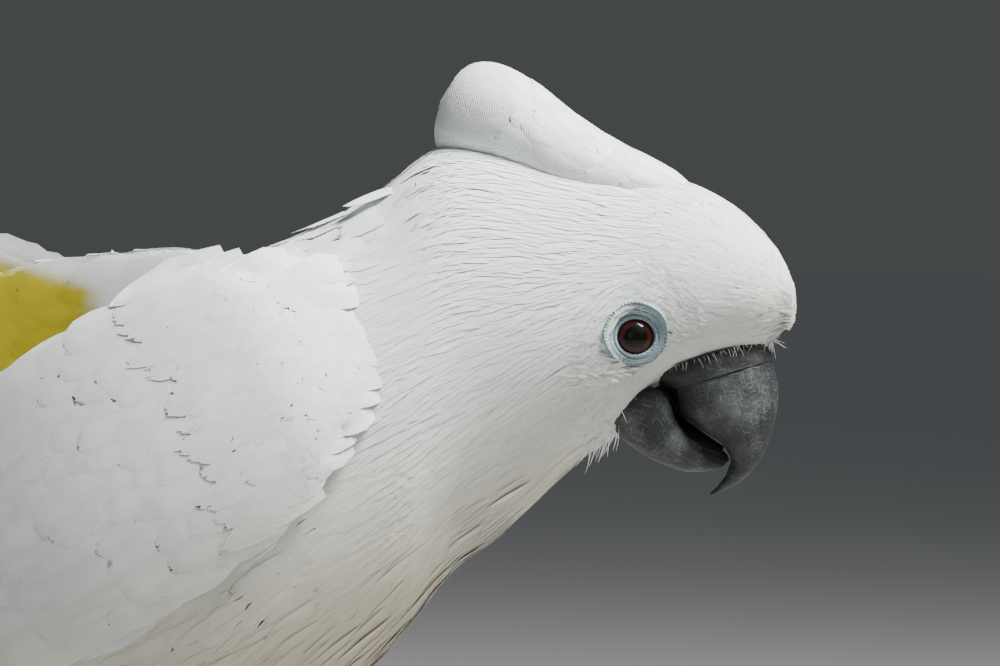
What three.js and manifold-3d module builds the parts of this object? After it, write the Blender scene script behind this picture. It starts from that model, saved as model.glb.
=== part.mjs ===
// A white (umbrella) cockatoo, life size, standing and leaning forward with its head turned down and
// its left wing half raised. Millimetres, +Z up, the bird faces +X and its left side is +Y.
// Every form is one loft: rings round a spine. Body forms are described by their upper and lower
// outline in side view, and feathers by their length and width. The origin is moved at the end to the
// middle of the model's footprint on the floor.

import * as THREE from "three";
import { mergeVertices } from "three/addons/utils/BufferGeometryUtils.js";
import Module from "manifold-3d";

const wasm = await Module();
wasm.setup();

// ---------- driving dimensions ----------

const GAP = 0.4; // clearance between neighbouring solids
const ROOM = 1.7; // clearance round slanted and faceted forms, in gaps
const FACETING = 0.15; // how far small facets may be merged away from the true surface
const FLOOR = 0; // level of the soles

// How far the head is turned to the bird's right, as a smooth bend of the neck.
const TURN = { from: 52, to: 96, angle: THREE.MathUtils.degToRad(9) };

// Side outline of the body, front to back: upper point, lower point, half width, and the height of the
// widest place as a share of the depth.
const BODY = [
  { top: [145.4, 164], low: [144.2, 153.6], half: 7, waist: 0.5 },
  { top: [141, 172.6], low: [138.6, 149.2], half: 13.5, waist: 0.48 },
  { top: [132.6, 181.2], low: [126.6, 145.2], half: 18, waist: 0.47 },
  { top: [121, 187.4], low: [113.4, 139.6], half: 20.8, waist: 0.47 },
  { top: [107.6, 190], low: [103.4, 127.6], half: 23.6, waist: 0.49 },
  { top: [92, 192.5], low: [93.5, 121], half: 28, waist: 0.47 },
  { top: [76, 196], low: [84, 111.5], half: 31.5, waist: 0.48 },
  { top: [60.5, 195.4], low: [74, 102.5], half: 34.5, waist: 0.5 },
  { top: [47, 185], low: [64, 95], half: 38, waist: 0.52 },
  { top: [32, 176.4], low: [54, 82.5], half: 42, waist: 0.53 },
  { top: [11, 167.5], low: [40, 68], half: 46, waist: 0.53 },
  { top: [-13, 156], low: [22, 54], half: 48.5, waist: 0.52 },
  { top: [-36, 141], low: [0, 45.5], half: 48, waist: 0.5 },
  { top: [-58, 120], low: [-25, 41.5], half: 43, waist: 0.5 },
  { top: [-78, 98], low: [-50, 41], half: 34.5, waist: 0.5 },
  { top: [-96, 78], low: [-76, 41], half: 26, waist: 0.52 },
  { top: [-112, 62], low: [-100, 38.5], half: 19, waist: 0.55 },
  { top: [-128, 50.5], low: [-123, 36], half: 13.5, waist: 0.6 },
  { top: [-146, 43], low: [-141, 33.4], half: 10, waist: 0.6 },
  { top: [-163, 38], low: [-158, 31], half: 6.5, waist: 0.6 },
];
// Where the body is parted, as places in BODY.
const HEAD_END = 5.2;
const NECK_END = 9.2;
const TRUNK_END = 14.2;

const EYE = { at: [110, 151.6], ball: 6.4, depth: 16.6, ring: 7.6, opening: 4.3, lid: 1.4, forward: 0.22 };

// Bill outlines, base to tip, as in BODY.
const UPPER_BILL = [
  { top: [140.6, 145.4], low: [117.4, 138.9], half: 12.2, waist: 0.36 },
  { top: [142, 139.8], low: [118.6, 133.4], half: 11.4, waist: 0.38 },
  { top: [141.8, 133.6], low: [123.2, 129.4], half: 9.6, waist: 0.4 },
  { top: [140.4, 127.6], low: [128.2, 126.4], half: 7.4, waist: 0.42 },
  { top: [138.2, 122.4], low: [130.8, 122.8], half: 5.2, waist: 0.45 },
  { top: [134.6, 117.9], low: [130.2, 119.4], half: 3.3, waist: 0.5 },
  { top: [130.2, 115], low: [128.4, 116.4], half: 1.7, waist: 0.5 },
  { top: [126, 113.4], low: [126.2, 114.1], half: 0.5, waist: 0.5 },
];
const CERE = [
  { top: [139.2, 151.2], low: [112.4, 142.6], half: 12, waist: 0.36 },
  { top: [140.1, 148.5], low: [113.4, 140.4], half: 12.8, waist: 0.36 },
  { top: [140.6, 145.9], low: [116.9, 138.9], half: 12.5, waist: 0.36 },
];
const LOWER_BILL = [
  { top: [103.6, 137.8], low: [102.2, 131.4], half: 12, waist: 0.5 },
  { top: [110.8, 141], low: [105.4, 126.8], half: 12.6, waist: 0.55 },
  { top: [116.8, 138.8], low: [110.8, 122.9], half: 12, waist: 0.6 },
  { top: [119.2, 132], low: [115.6, 120.6], half: 10.8, waist: 0.6 },
  { top: [121.4, 128.1], low: [120.1, 119.2], half: 9, waist: 0.58 },
  { top: [124.4, 125.6], low: [124.5, 119.1], half: 6.8, waist: 0.56 },
  { top: [127.4, 124], low: [128.2, 119.9], half: 4.2, waist: 0.54 },
  { top: [130, 123.2], low: [130.5, 121.7], half: 1.4, waist: 0.5 },
];
// The hollow inside the lower bill, and the tongue that lies in it.
const SCOOP = [
  { top: [113, 150], low: [110.4, 134.5], half: 9.6, waist: 0.5 },
  { top: [122, 143], low: [115.6, 127.4], half: 8.8, waist: 0.5 },
  { top: [127, 135], low: [121, 122.6], half: 6.4, waist: 0.5 },
  { top: [129.4, 127.5], low: [128.2, 122.6], half: 2.6, waist: 0.5 },
];
const TONGUE = [
  { top: [112.6, 139], low: [111.6, 134], half: 4.6, waist: 0.5 },
  { top: [118.4, 134.6], low: [116.6, 128.6], half: 5, waist: 0.5 },
  { top: [122.4, 129.4], low: [120.6, 125], half: 3.2, waist: 0.5 },
];

// Crest, laid back: each row has a vane on each side and one along the ridge. Side view places.
const CREST = [
  { name: "crest_short", spine: [[134, 177], [120, 184.2], [105, 190]], width: 12, thick: 11, apart: 4.4 },
  { name: "crest_middle", spine: [[127, 179], [109, 186.8], [90, 197.4]], width: 16, thick: 12.5, apart: 4.9 },
  { name: "crest_long", spine: [[117, 182], [91, 194.4], [76, 203.4], [62, 208]], width: 23, thick: 13.5, apart: 5.4 },
];
const CREST_ROLL = THREE.MathUtils.degToRad(74); // how steeply the side vanes stand
const CREST_RIDGE = 0.34; // height of the ridge vane above the side vanes' middle, in widths

// One wing, laid out flat: a runs from the bend to the tips, b from the lower edge up to the back. It
// lies against the body, at a distance that the layers below are counted from.
const WING = { clear: 4.4, wrap: 0.84, covertThick: 5 };
const COVERTS = [
  { a: -9, low: 17, high: 34, thick: 0.4 },
  { a: -6, low: 8.5, high: 46, thick: 0.75 },
  { a: 2, low: 0.5, high: 54, thick: 1 },
  { a: 16, low: -6, high: 58, thick: 1.05 },
  { a: 36, low: -9, high: 59, thick: 0.95 },
  { a: 58, low: -9.5, high: 57, thick: 0.75 },
  { a: 80, low: -8, high: 52, thick: 0.5 },
  { a: 98, low: -3, high: 43, thick: 0.3 },
  { a: 108, low: 8, high: 32, thick: 0.16 },
];
// Long feathers of the wing, first to last: roots, tips and layers are spaced evenly between the ends.
const TERTIALS = {
  roots: [[66, 46], [76, 36]], tips: [[122, 49], [148, 36]], layers: [1.4, 0.4],
  count: 3, thick: 1.7, width: 21,
};
const SECONDARIES = {
  roots: [[82, 32], [76, 0]], tips: [[152, 30], [132, -3]], layers: [-0.1, -0.9],
  count: 5, thick: 1.6, width: 21,
};
const FOLDED_PRIMARIES = {
  roots: [[104, 8], [104, 14]], tips: [[168, 20], [240, 31]], layers: [-1.7, -2.8],
  count: 5, thick: 1.5, width: 18,
};
const FANNED_PRIMARIES = {
  roots: [[96, 0], [96, 10]], tips: [[152, -18], [231, 6]], layers: [-1.7, -2.8],
  count: 6, thick: 1.5, width: 22,
};

// Where each wing's bend is in side view, how far it dips below level, and how it stands off the body
// behind the bend, as a slope.
const RIGHT_WING = { side: -1, bend: [36, 120], dip: 28, apart: 0, primaries: FOLDED_PRIMARIES };
const LEFT_WING = { side: 1, bend: [33, 109.6], dip: -5.5, apart: 0.17, primaries: FANNED_PRIMARIES };

// Tail: feathers in pairs from the middle outwards.
const TAIL = { root: [-92, 0, 49], dip: 11, length: 150, width: 25, pairs: 6, fan: 1.5, thick: 1.5, step: 1 };

// Legs, for one side; y is mirrored.
const LEG = {
  hip: [4, 18, 68],
  knee: [5, 24, 50],
  ankle: [-15, 26, 27],
  foot: [1, 27, 6.5],
  thighWide: 18,
  ankleWide: 7,
  shank: 4.4,
};
const TOES = [
  { name: "inner_front", angle: -14, length: 25, wide: 4.1 },
  { name: "outer_front", angle: 19, length: 34, wide: 4.3 },
  { name: "outer_back", angle: 150, length: 29, wide: 4.2 },
  { name: "inner_back", angle: -158, length: 19, wide: 4 },
];
const CLAW = { length: 12.5, wide: 2.1 };
const PAD_HEIGHT = 3;
const SOLE = 1.2; // how far the floor flattens the underside of a toe

// ---------- colours ----------

const finish = (color, roughness) => new THREE.MeshStandardMaterial({ color, roughness, metalness: 0 });
const WHITE = finish(0xe9ebe6, 0.85);
const FLIGHT = finish(0xeceadb, 0.75);
const BARE_SKIN = finish(0xb9ccca, 0.7);
const IRIS = finish(0x2a0f0c, 0.08);
const HORN = finish(0x3b3f42, 0.6);
const MOUTH = finish(0x14120f, 0.7);
const FOOT = finish(0x4b4d4e, 0.8);

// ---------- solids ----------

const root = new THREE.Group();
const bird = new THREE.Group();
root.add(bird);

/** A closed three.js geometry as a manifold solid, turned the right way out. */
function solidOf(geometry) {
  const bare = geometry.clone();
  bare.deleteAttribute("normal");
  bare.deleteAttribute("uv");
  const merged = mergeVertices(bare, 1e-4);
  const triVerts = new Uint32Array(merged.index.array);
  const vertProperties = new Float32Array(merged.attributes.position.array);
  const made = new wasm.Manifold(new wasm.Mesh({ numProp: 3, vertProperties, triVerts }));
  if (made.volume() > 0) return made;
  for (let i = 0; i < triVerts.length; i += 3)
    [triVerts[i + 1], triVerts[i + 2]] = [triVerts[i + 2], triVerts[i + 1]];
  return new wasm.Manifold(new wasm.Mesh({ numProp: 3, vertProperties, triVerts }));
}

/** A manifold solid as a three.js geometry. */
function geometryOf(solid) {
  const mesh = solid.getMesh();
  const geometry = new THREE.BufferGeometry();
  geometry.setAttribute("position", new THREE.BufferAttribute(Float32Array.from(mesh.vertProperties), 3));
  geometry.setIndex(new THREE.BufferAttribute(Uint32Array.from(mesh.triVerts), 1));
  geometry.computeVertexNormals();
  return geometry;
}

const join = (solids) => solids.reduce((all, one) => all.add(one));
const cut = (solid, ...tools) => tools.reduce((left, tool) => left.subtract(tool), solid);

/** The largest single body of a solid, without the crumbs and needless facets that cuts leave. */
function tidy(solid, faceting = FACETING) {
  const whole = solid.decompose().reduce((best, one) => (one.volume() > best.volume() ? one : best));
  return whole.asOriginal().simplify(faceting);
}

/** Adds a solid to the bird as a named mesh, and gives it back as it was added. */
function addPart(name, solid, material, faceting) {
  const added = tidy(solid, faceting);
  const mesh = new THREE.Mesh(geometryOf(added), material);
  mesh.name = name;
  bird.add(mesh);
  return added;
}

/** Rings round a spine: place(along 0..1, angle, radius 0..1) gives each point. Both ends are closed. */
function loft(place, around, along) {
  const geometry = new THREE.CylinderGeometry(1, 1, 1, around, along);
  const points = geometry.attributes.position;
  const at = new THREE.Vector3();
  for (let i = 0; i < points.count; i++) {
    at.fromBufferAttribute(points, i);
    const radius = Math.min(1, Math.hypot(at.x, at.z));
    const made = place(at.y + 0.5, Math.atan2(at.x, at.z), radius < 1e-6 ? 0 : 1);
    points.setXYZ(i, made.x, made.y, made.z);
  }
  return geometry;
}

/** The head's turn to the right, as a bend of everything in front of TURN.from. */
function turned(point) {
  const bent = THREE.MathUtils.clamp((point.x - TURN.from) / (TURN.to - TURN.from), 0, 1);
  if (bent === 0) return point;
  const curve = TURN.angle / (TURN.to - TURN.from);
  const angle = TURN.angle * bent;
  const past = Math.max(0, point.x - TURN.to);
  const x = TURN.from + Math.sin(angle) / curve + past * Math.cos(angle) + point.y * Math.sin(angle);
  const y = -(1 - Math.cos(angle)) / curve - past * Math.sin(angle) + point.y * Math.cos(angle);
  return new THREE.Vector3(x, y, point.z);
}

/** Smooth values between the rows of an outline table. */
function outlineCurve(rows) {
  const smooth = (points) => new THREE.CatmullRomCurve3(points, false, "catmullrom", 0.5);
  return {
    last: rows.length - 1,
    top: smooth(rows.map((row) => new THREE.Vector3(row.top[0], 0, row.top[1]))),
    low: smooth(rows.map((row) => new THREE.Vector3(row.low[0], 0, row.low[1]))),
    half: smooth(rows.map((row) => new THREE.Vector3(row.half, row.waist, 0))),
  };
}

/** A form that is symmetrical left and right, from an outline table, grown by a margin. */
function profileSolid(rows, { from = 0, to = rows.length - 1, around, along, grow = 0, square = 1 }) {
  const curve = outlineCurve(rows);
  const squared = (value) => Math.sign(value) * Math.abs(value) ** square;
  const place = (share, angle, radius) => {
    const row = THREE.MathUtils.lerp(from, to, share) / curve.last;
    const top = curve.top.getPoint(row);
    const low = curve.low.getPoint(row);
    const { x: half, y: waist } = curve.half.getPoint(row);
    const up = top.clone().sub(low);
    const depth = up.length();
    up.normalize();
    const middle = low.clone().addScaledVector(up, depth * waist);
    const high = squared(Math.cos(angle));
    const reach = (high > 0 ? depth * (1 - waist) : depth * waist) + grow;
    middle.addScaledVector(up, high * reach * radius);
    middle.y = squared(Math.sin(angle)) * (half + grow) * radius;
    return turned(middle);
  };
  return solidOf(loft(place, around, along));
}

/** A rounded limb along a curve of points, with a half width and half height at each. */
function limbSolid(points, wide, high, { around = 10, along = 6, floor = -Infinity }, grow = 0) {
  const spine = new THREE.CatmullRomCurve3(points);
  const length = spine.getLength();
  const place = (evenly, angle, radius) => {
    const far = evenly * (length + 2 * grow) - grow;
    const share = THREE.MathUtils.clamp(far / length, 0, 1);
    const ahead = spine.getTangentAt(share);
    const side = new THREE.Vector3(0, 1, 0).addScaledVector(ahead, -ahead.y).normalize();
    const up = ahead.clone().cross(side);
    const at = spine.getPointAt(share).addScaledVector(ahead, far - share * length);
    const round = angle + Math.PI / around; // a flat lies undermost, not an edge
    at.addScaledVector(side, Math.sin(round) * (wide(share) + grow) * radius);
    at.addScaledVector(up, Math.cos(round) * (high(share) + grow) * radius);
    return at.setZ(Math.max(floor - grow, at.z));
  };
  return solidOf(loft(place, around, along));
}

/** How wide a feather is along its length, as a share of its full width, with a rounder or blunter tip. */
const featherShape = (share, blunt) =>
  (0.42 + 0.58 * Math.sin(Math.min(1, share / 0.55) * Math.PI * 0.5)) *
  Math.sqrt(1 - (0.985 - 0.25 * blunt) * share ** (7 + 9 * blunt));

/** A feather's vane: map(far, across, out) places a point by its distance along, across and out. */
function featherSolid(map, { length, width, thick, along = 5, blunt = 0 }, grow) {
  const place = (evenly, angle, radius) => {
    const share = 1 - (1 - evenly) ** 1.5; // rings crowd towards the tip
    return map(
      share * length + (2 * share - 1) * grow,
      Math.sin(angle) * (0.5 * width * featherShape(share, blunt) + grow) * radius,
      Math.cos(angle) * (0.5 * thick + grow) * radius,
    );
  };
  return solidOf(loft(place, 4, along));
}

// ---------- head, neck and trunk ----------

/** The eyeball and its ring of bare skin, on one side of the head. */
function eyeParts(side) {
  const centre = new THREE.Vector3(EYE.at[0], side * EYE.depth, EYE.at[1]);
  const faces = new THREE.Vector3(EYE.forward, side, 0.03).normalize();
  const look = new THREE.Quaternion().setFromUnitVectors(new THREE.Vector3(0, 1, 0), faces);
  const placed = (geometry) => {
    geometry.applyQuaternion(look);
    geometry.translate(centre.x, centre.y, centre.z);
    const points = geometry.attributes.position;
    const at = new THREE.Vector3();
    for (let i = 0; i < points.count; i++) {
      const bent = turned(at.fromBufferAttribute(points, i));
      points.setXYZ(i, bent.x, bent.y, bent.z);
    }
    return solidOf(geometry);
  };
  const ball = (grow) => placed(new THREE.SphereGeometry(EYE.ball + grow, 12, 8));
  // The ring is a shallow dish that slopes in to the lids.
  const ring = (grow) => {
    const middle = EYE.ball * 0.74;
    const half = 0.5 * (EYE.ring - EYE.opening) + grow;
    const radius = 0.5 * (EYE.ring + EYE.opening);
    const profile = [];
    for (let i = 0; i <= 6; i++) {
      const angle = (i / 6) * 2 * Math.PI;
      const out = Math.cos(angle) * half;
      profile.push(new THREE.Vector2(radius + out, middle - out * 0.3 + Math.sin(angle) * (EYE.lid + grow)));
    }
    return placed(new THREE.LatheGeometry(profile, 12));
  };
  return { ball, ring };
}

const headSolid = (grow) => profileSolid(BODY, { to: HEAD_END, around: 20, along: 11, grow });

/** Head, eyes, cere and bill: each solid leaves room for the ones that it holds. */
function buildHead() {
  const upperBill = (grow) => profileSolid(UPPER_BILL, { around: 12, along: 8, grow });
  const cere = (grow) => profileSolid(CERE, { around: 14, along: 2, grow });
  const lowerBill = (grow) => profileSolid(LOWER_BILL, { around: 16, along: 8, grow, square: 0.8 });
  const scoop = profileSolid(SCOOP, { around: 12, along: 5 });
  const tongue = profileSolid(TONGUE, { around: 8, along: 3 });
  let head = headSolid(0);
  for (const [name, side] of [["left", 1], ["right", -1]]) {
    const { ball, ring } = eyeParts(side);
    head = cut(head, ball(GAP), ring(GAP));
    addPart(`eye_${name}`, ball(0), IRIS);
    addPart(`eye_ring_${name}`, cut(ring(0), ball(GAP)), BARE_SKIN);
  }
  addPart("head", cut(head, cere(GAP), upperBill(GAP), lowerBill(GAP)), WHITE);
  addPart("cere", cut(cere(0), upperBill(GAP), lowerBill(GAP)), HORN);
  addPart("bill_upper", upperBill(0), HORN);
  const lower = addPart("bill_lower", cut(lowerBill(0), upperBill(GAP), scoop), HORN);
  const lowerRoom = join([lower, lower.translate([GAP, 0, GAP]), lower.translate([-GAP, 0, GAP])]);
  addPart("tongue", cut(tongue, upperBill(GAP), cere(GAP), lowerRoom), MOUTH);
}

/** One vane of the crest, along a spine in side view, moved aside and rolled about its length. */
function crestVane(spine, aside, roll, rise, { width, thick }, grow) {
  const curve = new THREE.CatmullRomCurve3(spine.map(([x, z]) => new THREE.Vector3(x, 0, z)));
  const length = curve.getLength();
  const map = (far, across, out) => {
    const share = THREE.MathUtils.clamp(far / length, 0, 1);
    const ahead = curve.getTangentAt(share);
    const at = curve.getPointAt(share).addScaledVector(ahead, far - share * length);
    const up = new THREE.Vector3(0, 1, 0).cross(ahead);
    const inward = aside === 0 ? 1 : Math.sign(aside);
    const lift = Math.abs(Math.sin(roll)) * across + Math.cos(roll) * out;
    at.addScaledVector(up, rise * featherShape(share, 1) + lift);
    at.y = aside - inward * Math.cos(roll) * across + Math.sin(roll) * out;
    return turned(at);
  };
  return featherSolid(map, { length, width, thick, along: 5, blunt: 1 }, grow);
}

/** The crest: a row in front overlies the longer row behind it. */
function buildCrest() {
  let taken = profileSolid(BODY, { from: 0.5, to: NECK_END, around: 22, along: 15, grow: GAP });
  for (const row of CREST) {
    const vanes = (grow) =>
      join([
        crestVane(row.spine, row.apart, CREST_ROLL, 0, row, grow),
        crestVane(row.spine, -row.apart, -CREST_ROLL, 0, row, grow),
        crestVane(row.spine, 0, 0, CREST_RIDGE * row.width, { width: 1.5 * row.apart, thick: 3 }, grow),
      ]);
    addPart(row.name, cut(vanes(0), taken), WHITE);
    taken = join([taken, vanes(GAP)]);
  }
}

// ---------- wings ----------

const STATIONS = 90;
const bodyCurve = outlineCurve(BODY);
const stations = Array.from({ length: STATIONS + 1 }, (_, i) => {
  const top = bodyCurve.top.getPoint(i / STATIONS);
  const low = bodyCurve.low.getPoint(i / STATIONS);
  const { x: half, y: waist } = bodyCurve.half.getPoint(i / STATIONS);
  return { top, up: top.clone().sub(low), low, half, waist };
});

/** Half the body's width at a place in side view, eased to a steady share of it past the edges. */
function bodyHalf(x, z) {
  const passed = ({ up, low }) => up.x * (z - low.z) - up.z * (x - low.x);
  const halfAt = ({ up, low, half, waist }) => {
    const height = ((x - low.x) * up.x + (z - low.z) * up.z) / up.lengthSq();
    const off = height > waist ? (height - waist) / (1 - waist) : (waist - height) / waist;
    const eased = WING.wrap * Math.tanh(off / WING.wrap);
    return half * Math.sqrt(1 - eased * eased);
  };
  const next = stations.findIndex((one) => passed(one) <= 0);
  if (next < 0) return halfAt(stations[STATIONS]);
  if (next === 0) return halfAt(stations[0]);
  const [ahead, behind] = [stations[next - 1], stations[next]];
  const share = passed(ahead) / (passed(ahead) - passed(behind));
  return THREE.MathUtils.lerp(halfAt(ahead), halfAt(behind), share);
}

/** A point of a wing from its place in the flat layout and its layer, counted square to the body. */
function wingPoint({ side, bend, dip, apart }, a, b, layer) {
  const angle = THREE.MathUtils.degToRad(dip);
  const x = bend[0] - a * Math.cos(angle) - b * Math.sin(angle);
  const z = bend[1] - a * Math.sin(angle) + b * Math.cos(angle);
  const step = 2;
  const slopeX = (bodyHalf(x + step, z) - bodyHalf(x - step, z)) / (2 * step);
  const slopeZ = (bodyHalf(x, z + step) - bodyHalf(x, z - step)) / (2 * step);
  const outward = new THREE.Vector3(-slopeX, 1, -slopeZ).normalize();
  const point = new THREE.Vector3(x, bodyHalf(x, z) + Math.max(0, a) * apart, z);
  point.addScaledVector(outward, WING.clear + layer);
  return point.setY(side * point.y);
}

/** The rounded mass of the wing's arm and its coverts. */
function covertSolid(wing, grow) {
  const smooth = (pick) => new THREE.CatmullRomCurve3(COVERTS.map(pick), false, "catmullrom", 0.5);
  const edge = smooth((row) => new THREE.Vector3(row.a, row.low, row.high));
  const thick = smooth((row) => new THREE.Vector3(row.thick, 0, 0));
  const place = (share, angle, radius) => {
    const { x: a, y: low, z: high } = edge.getPoint(share);
    const b = 0.5 * (low + high) + Math.sin(angle) * (0.5 * (high - low) + grow) * radius;
    const out = Math.cos(angle) * (WING.covertThick * thick.getPoint(share).x + grow) * radius;
    return wingPoint(wing, a + (2 * share - 1) * grow, b, out);
  };
  return solidOf(loft(place, 14, 9));
}

/** A row of overlapping feathers, joined in one solid. */
function featherRow(wing, { roots, tips, layers, count, thick, width }, grow) {
  const feathers = [];
  for (let i = 0; i < count; i++) {
    const share = i / (count - 1);
    const between = ([first, last]) => new THREE.Vector2(...first).lerp(new THREE.Vector2(...last), share);
    const start = between(roots);
    const reach = between(tips).sub(start);
    const length = reach.length();
    reach.normalize();
    const layer = THREE.MathUtils.lerp(layers[0], layers[1], share);
    const map = (far, across, out) =>
      wingPoint(
        wing,
        start.x + reach.x * far - reach.y * across,
        start.y + reach.y * far + reach.x * across,
        layer + out,
      );
    feathers.push(featherSolid(map, { length, width, thick, along: 5 }, grow));
  }
  return join(feathers);
}

/** One wing's solids: coverts over secondaries and tertials, over the primaries that reach the tip. */
function wingSolids(wing, grow) {
  const coverts = covertSolid(wing, grow);
  const secondaries = join([featherRow(wing, TERTIALS, grow), featherRow(wing, SECONDARIES, grow)]);
  const primaries = featherRow(wing, wing.primaries, grow);
  return { coverts, secondaries, primaries };
}

/** Adds one wing and gives back the room that it needs in the body and above the tail. */
function buildWing(name, wing) {
  const { coverts, secondaries, primaries } = wingSolids(wing, 0);
  const room = wingSolids(wing, ROOM * GAP);
  addPart(`wing_${name}_coverts`, coverts, WHITE);
  addPart(`wing_${name}_secondaries`, cut(secondaries, room.coverts), FLIGHT);
  addPart(`wing_${name}_primaries`, cut(primaries, room.coverts, room.secondaries), FLIGHT);
  return room;
}

/** Neck, trunk and rump, with room for the wings. */
function buildTrunk(wings) {
  const coverts = wings.map((room) => room.coverts);
  const neck = profileSolid(BODY, { from: HEAD_END + 0.03, to: NECK_END, around: 20, along: 7 });
  const trunk = profileSolid(BODY, { from: NECK_END + 0.02, to: TRUNK_END, around: 22, along: 9 });
  const rump = profileSolid(BODY, { from: TRUNK_END + 0.03, around: 16, along: 7 });
  addPart("neck", cut(neck, ...coverts), WHITE);
  addPart("trunk", cut(trunk, ...coverts), WHITE);
  addPart("rump", cut(rump, ...coverts), WHITE);
}

// ---------- tail ----------

/** The tail, nearly closed: pairs of feathers, the middle pair on top. */
function buildTail(body, wings) {
  const [x, , z] = TAIL.root;
  const dip = THREE.MathUtils.degToRad(TAIL.dip);
  const feathers = [];
  for (let pair = 0; pair < TAIL.pairs; pair++)
    for (const side of [-1, 1]) {
      const fan = THREE.MathUtils.degToRad((pair + 0.35) * TAIL.fan) * side;
      const length = TAIL.length - 1.2 * pair * pair;
      const map = (far, across, out) => {
        const back = far * Math.cos(fan) + across * Math.sin(fan);
        const wide = far * Math.sin(fan) - across * Math.cos(fan) + side * 3.2 * pair;
        const high = out - pair * TAIL.step - (wide * wide) / 170;
        const along = back * Math.cos(dip) - high * Math.sin(dip);
        return new THREE.Vector3(x - along, wide, z - back * Math.sin(dip) + high * Math.cos(dip));
      };
      feathers.push(featherSolid(map, { length, width: TAIL.width, thick: TAIL.thick, along: 4 }, 0));
    }
  addPart("tail", cut(join(feathers), body, ...wings.map((room) => room.primaries)), FLIGHT);
}

// ---------- legs ----------

/** One leg: feathered thigh, bare shank, four toes in two pairs, and their claws. */
function buildLeg(name, side, body) {
  const at = ([x, y, z]) => new THREE.Vector3(x, side * y, z);
  const [hip, knee, ankle, foot] = [LEG.hip, LEG.knee, LEG.ankle, LEG.foot].map(at);
  const narrow = (share) => THREE.MathUtils.lerp(LEG.thighWide, LEG.ankleWide, share ** 1.3);
  const thigh = limbSolid([hip, knee, ankle], (share) => 0.8 * narrow(share), narrow, { around: 10 });
  const shankLine = [ankle.clone().lerp(foot, -0.18), ankle.clone().lerp(foot, 0.4), foot];
  const stout = (share) => LEG.shank * (1 + 0.15 * share);
  const shank = (grow) =>
    limbSolid(shankLine, stout, stout, { around: 10, along: 3, floor: FLOOR + 0.6 }, grow);
  addPart(`leg_${name}_thigh`, cut(thigh, body, shank(ROOM * GAP)), WHITE);
  addPart(`leg_${name}_shank`, shank(0), FOOT);
  let taken = shank(ROOM * GAP);
  for (const toe of TOES) {
    const heading = THREE.MathUtils.degToRad(toe.angle) * side;
    const ahead = new THREE.Vector3(Math.cos(heading), Math.sin(heading), 0);
    const from = new THREE.Vector3(foot.x, foot.y, 0).addScaledVector(ahead, 1);
    const point = (far, height) => from.clone().addScaledVector(ahead, far).setZ(height);
    const pads = (share) => (1 - 0.2 * share) * (1 + 0.08 * Math.cos(share * Math.PI * 4));
    const toeSolid = (grow) =>
      limbSolid(
        [point(0, PAD_HEIGHT + 0.6), point(0.5 * toe.length, PAD_HEIGHT), point(toe.length, PAD_HEIGHT - 0.4)],
        (share) => toe.wide * pads(share),
        (share) => (PAD_HEIGHT + SOLE) * pads(share),
        { around: 8, along: 3, floor: FLOOR },
        grow,
      );
    const clawPoint = (share, height) => point(0.95 * toe.length + share * CLAW.length, height);
    const clawLine = [
      clawPoint(0, PAD_HEIGHT - 0.1),
      clawPoint(0.45, PAD_HEIGHT + 0.6),
      clawPoint(0.8, PAD_HEIGHT - 1),
      clawPoint(1, 0.5),
    ];
    const taper = (share) => CLAW.wide * (1 - 0.86 * share);
    const claw = (grow) => limbSolid(clawLine, taper, taper, { around: 5, along: 3, floor: FLOOR }, grow);
    addPart(`toe_${name}_${toe.name}`, cut(toeSolid(0), taken, claw(GAP)), FOOT);
    addPart(`claw_${name}_${toe.name}`, cut(claw(0), taken), HORN);
    taken = join([taken, toeSolid(ROOM * GAP), claw(ROOM * GAP)]);
  }
}

// ---------- the whole bird ----------

const bodyRoom = profileSolid(BODY, { around: 22, along: 30, grow: GAP });

buildHead();
buildCrest();
const wings = [buildWing("right", RIGHT_WING), buildWing("left", LEFT_WING)];
buildTrunk(wings);
buildTail(bodyRoom, wings);
buildLeg("right", -1, bodyRoom);
buildLeg("left", 1, bodyRoom);

// The frame's origin is on the floor, at the middle of the model's box.
root.updateMatrixWorld(true);
const box = new THREE.Box3().setFromObject(root, true);
bird.position.set(-0.5 * (box.min.x + box.max.x), -0.5 * (box.min.y + box.max.y), -box.min.z);

export default root;
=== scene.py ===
"""A white cockatoo, life size and still: skin, plumage, bill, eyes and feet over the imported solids."""

import logging
import math
from dataclasses import dataclass, field
from enum import Enum
from typing import Callable

import bpy
import numpy as np
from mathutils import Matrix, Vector

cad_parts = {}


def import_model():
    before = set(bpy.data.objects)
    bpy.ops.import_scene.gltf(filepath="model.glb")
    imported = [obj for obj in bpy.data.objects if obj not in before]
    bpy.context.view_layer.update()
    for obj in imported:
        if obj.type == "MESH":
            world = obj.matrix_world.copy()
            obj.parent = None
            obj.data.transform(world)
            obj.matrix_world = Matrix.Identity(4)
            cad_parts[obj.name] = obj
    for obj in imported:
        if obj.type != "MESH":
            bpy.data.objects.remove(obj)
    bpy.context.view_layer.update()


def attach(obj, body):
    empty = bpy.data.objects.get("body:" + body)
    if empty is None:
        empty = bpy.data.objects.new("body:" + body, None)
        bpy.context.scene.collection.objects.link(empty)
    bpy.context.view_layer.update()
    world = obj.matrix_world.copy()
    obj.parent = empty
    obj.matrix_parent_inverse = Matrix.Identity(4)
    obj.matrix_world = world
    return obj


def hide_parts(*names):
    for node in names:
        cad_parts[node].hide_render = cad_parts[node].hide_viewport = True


LOG = logging.getLogger("cockatoo")
ROOT_BODY = "root"
MM = 0.001
# Where the bird's own origin lies in the frame, in millimetres.
ORIGIN = np.array([47.0652, -2.6496, 0.0])

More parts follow.
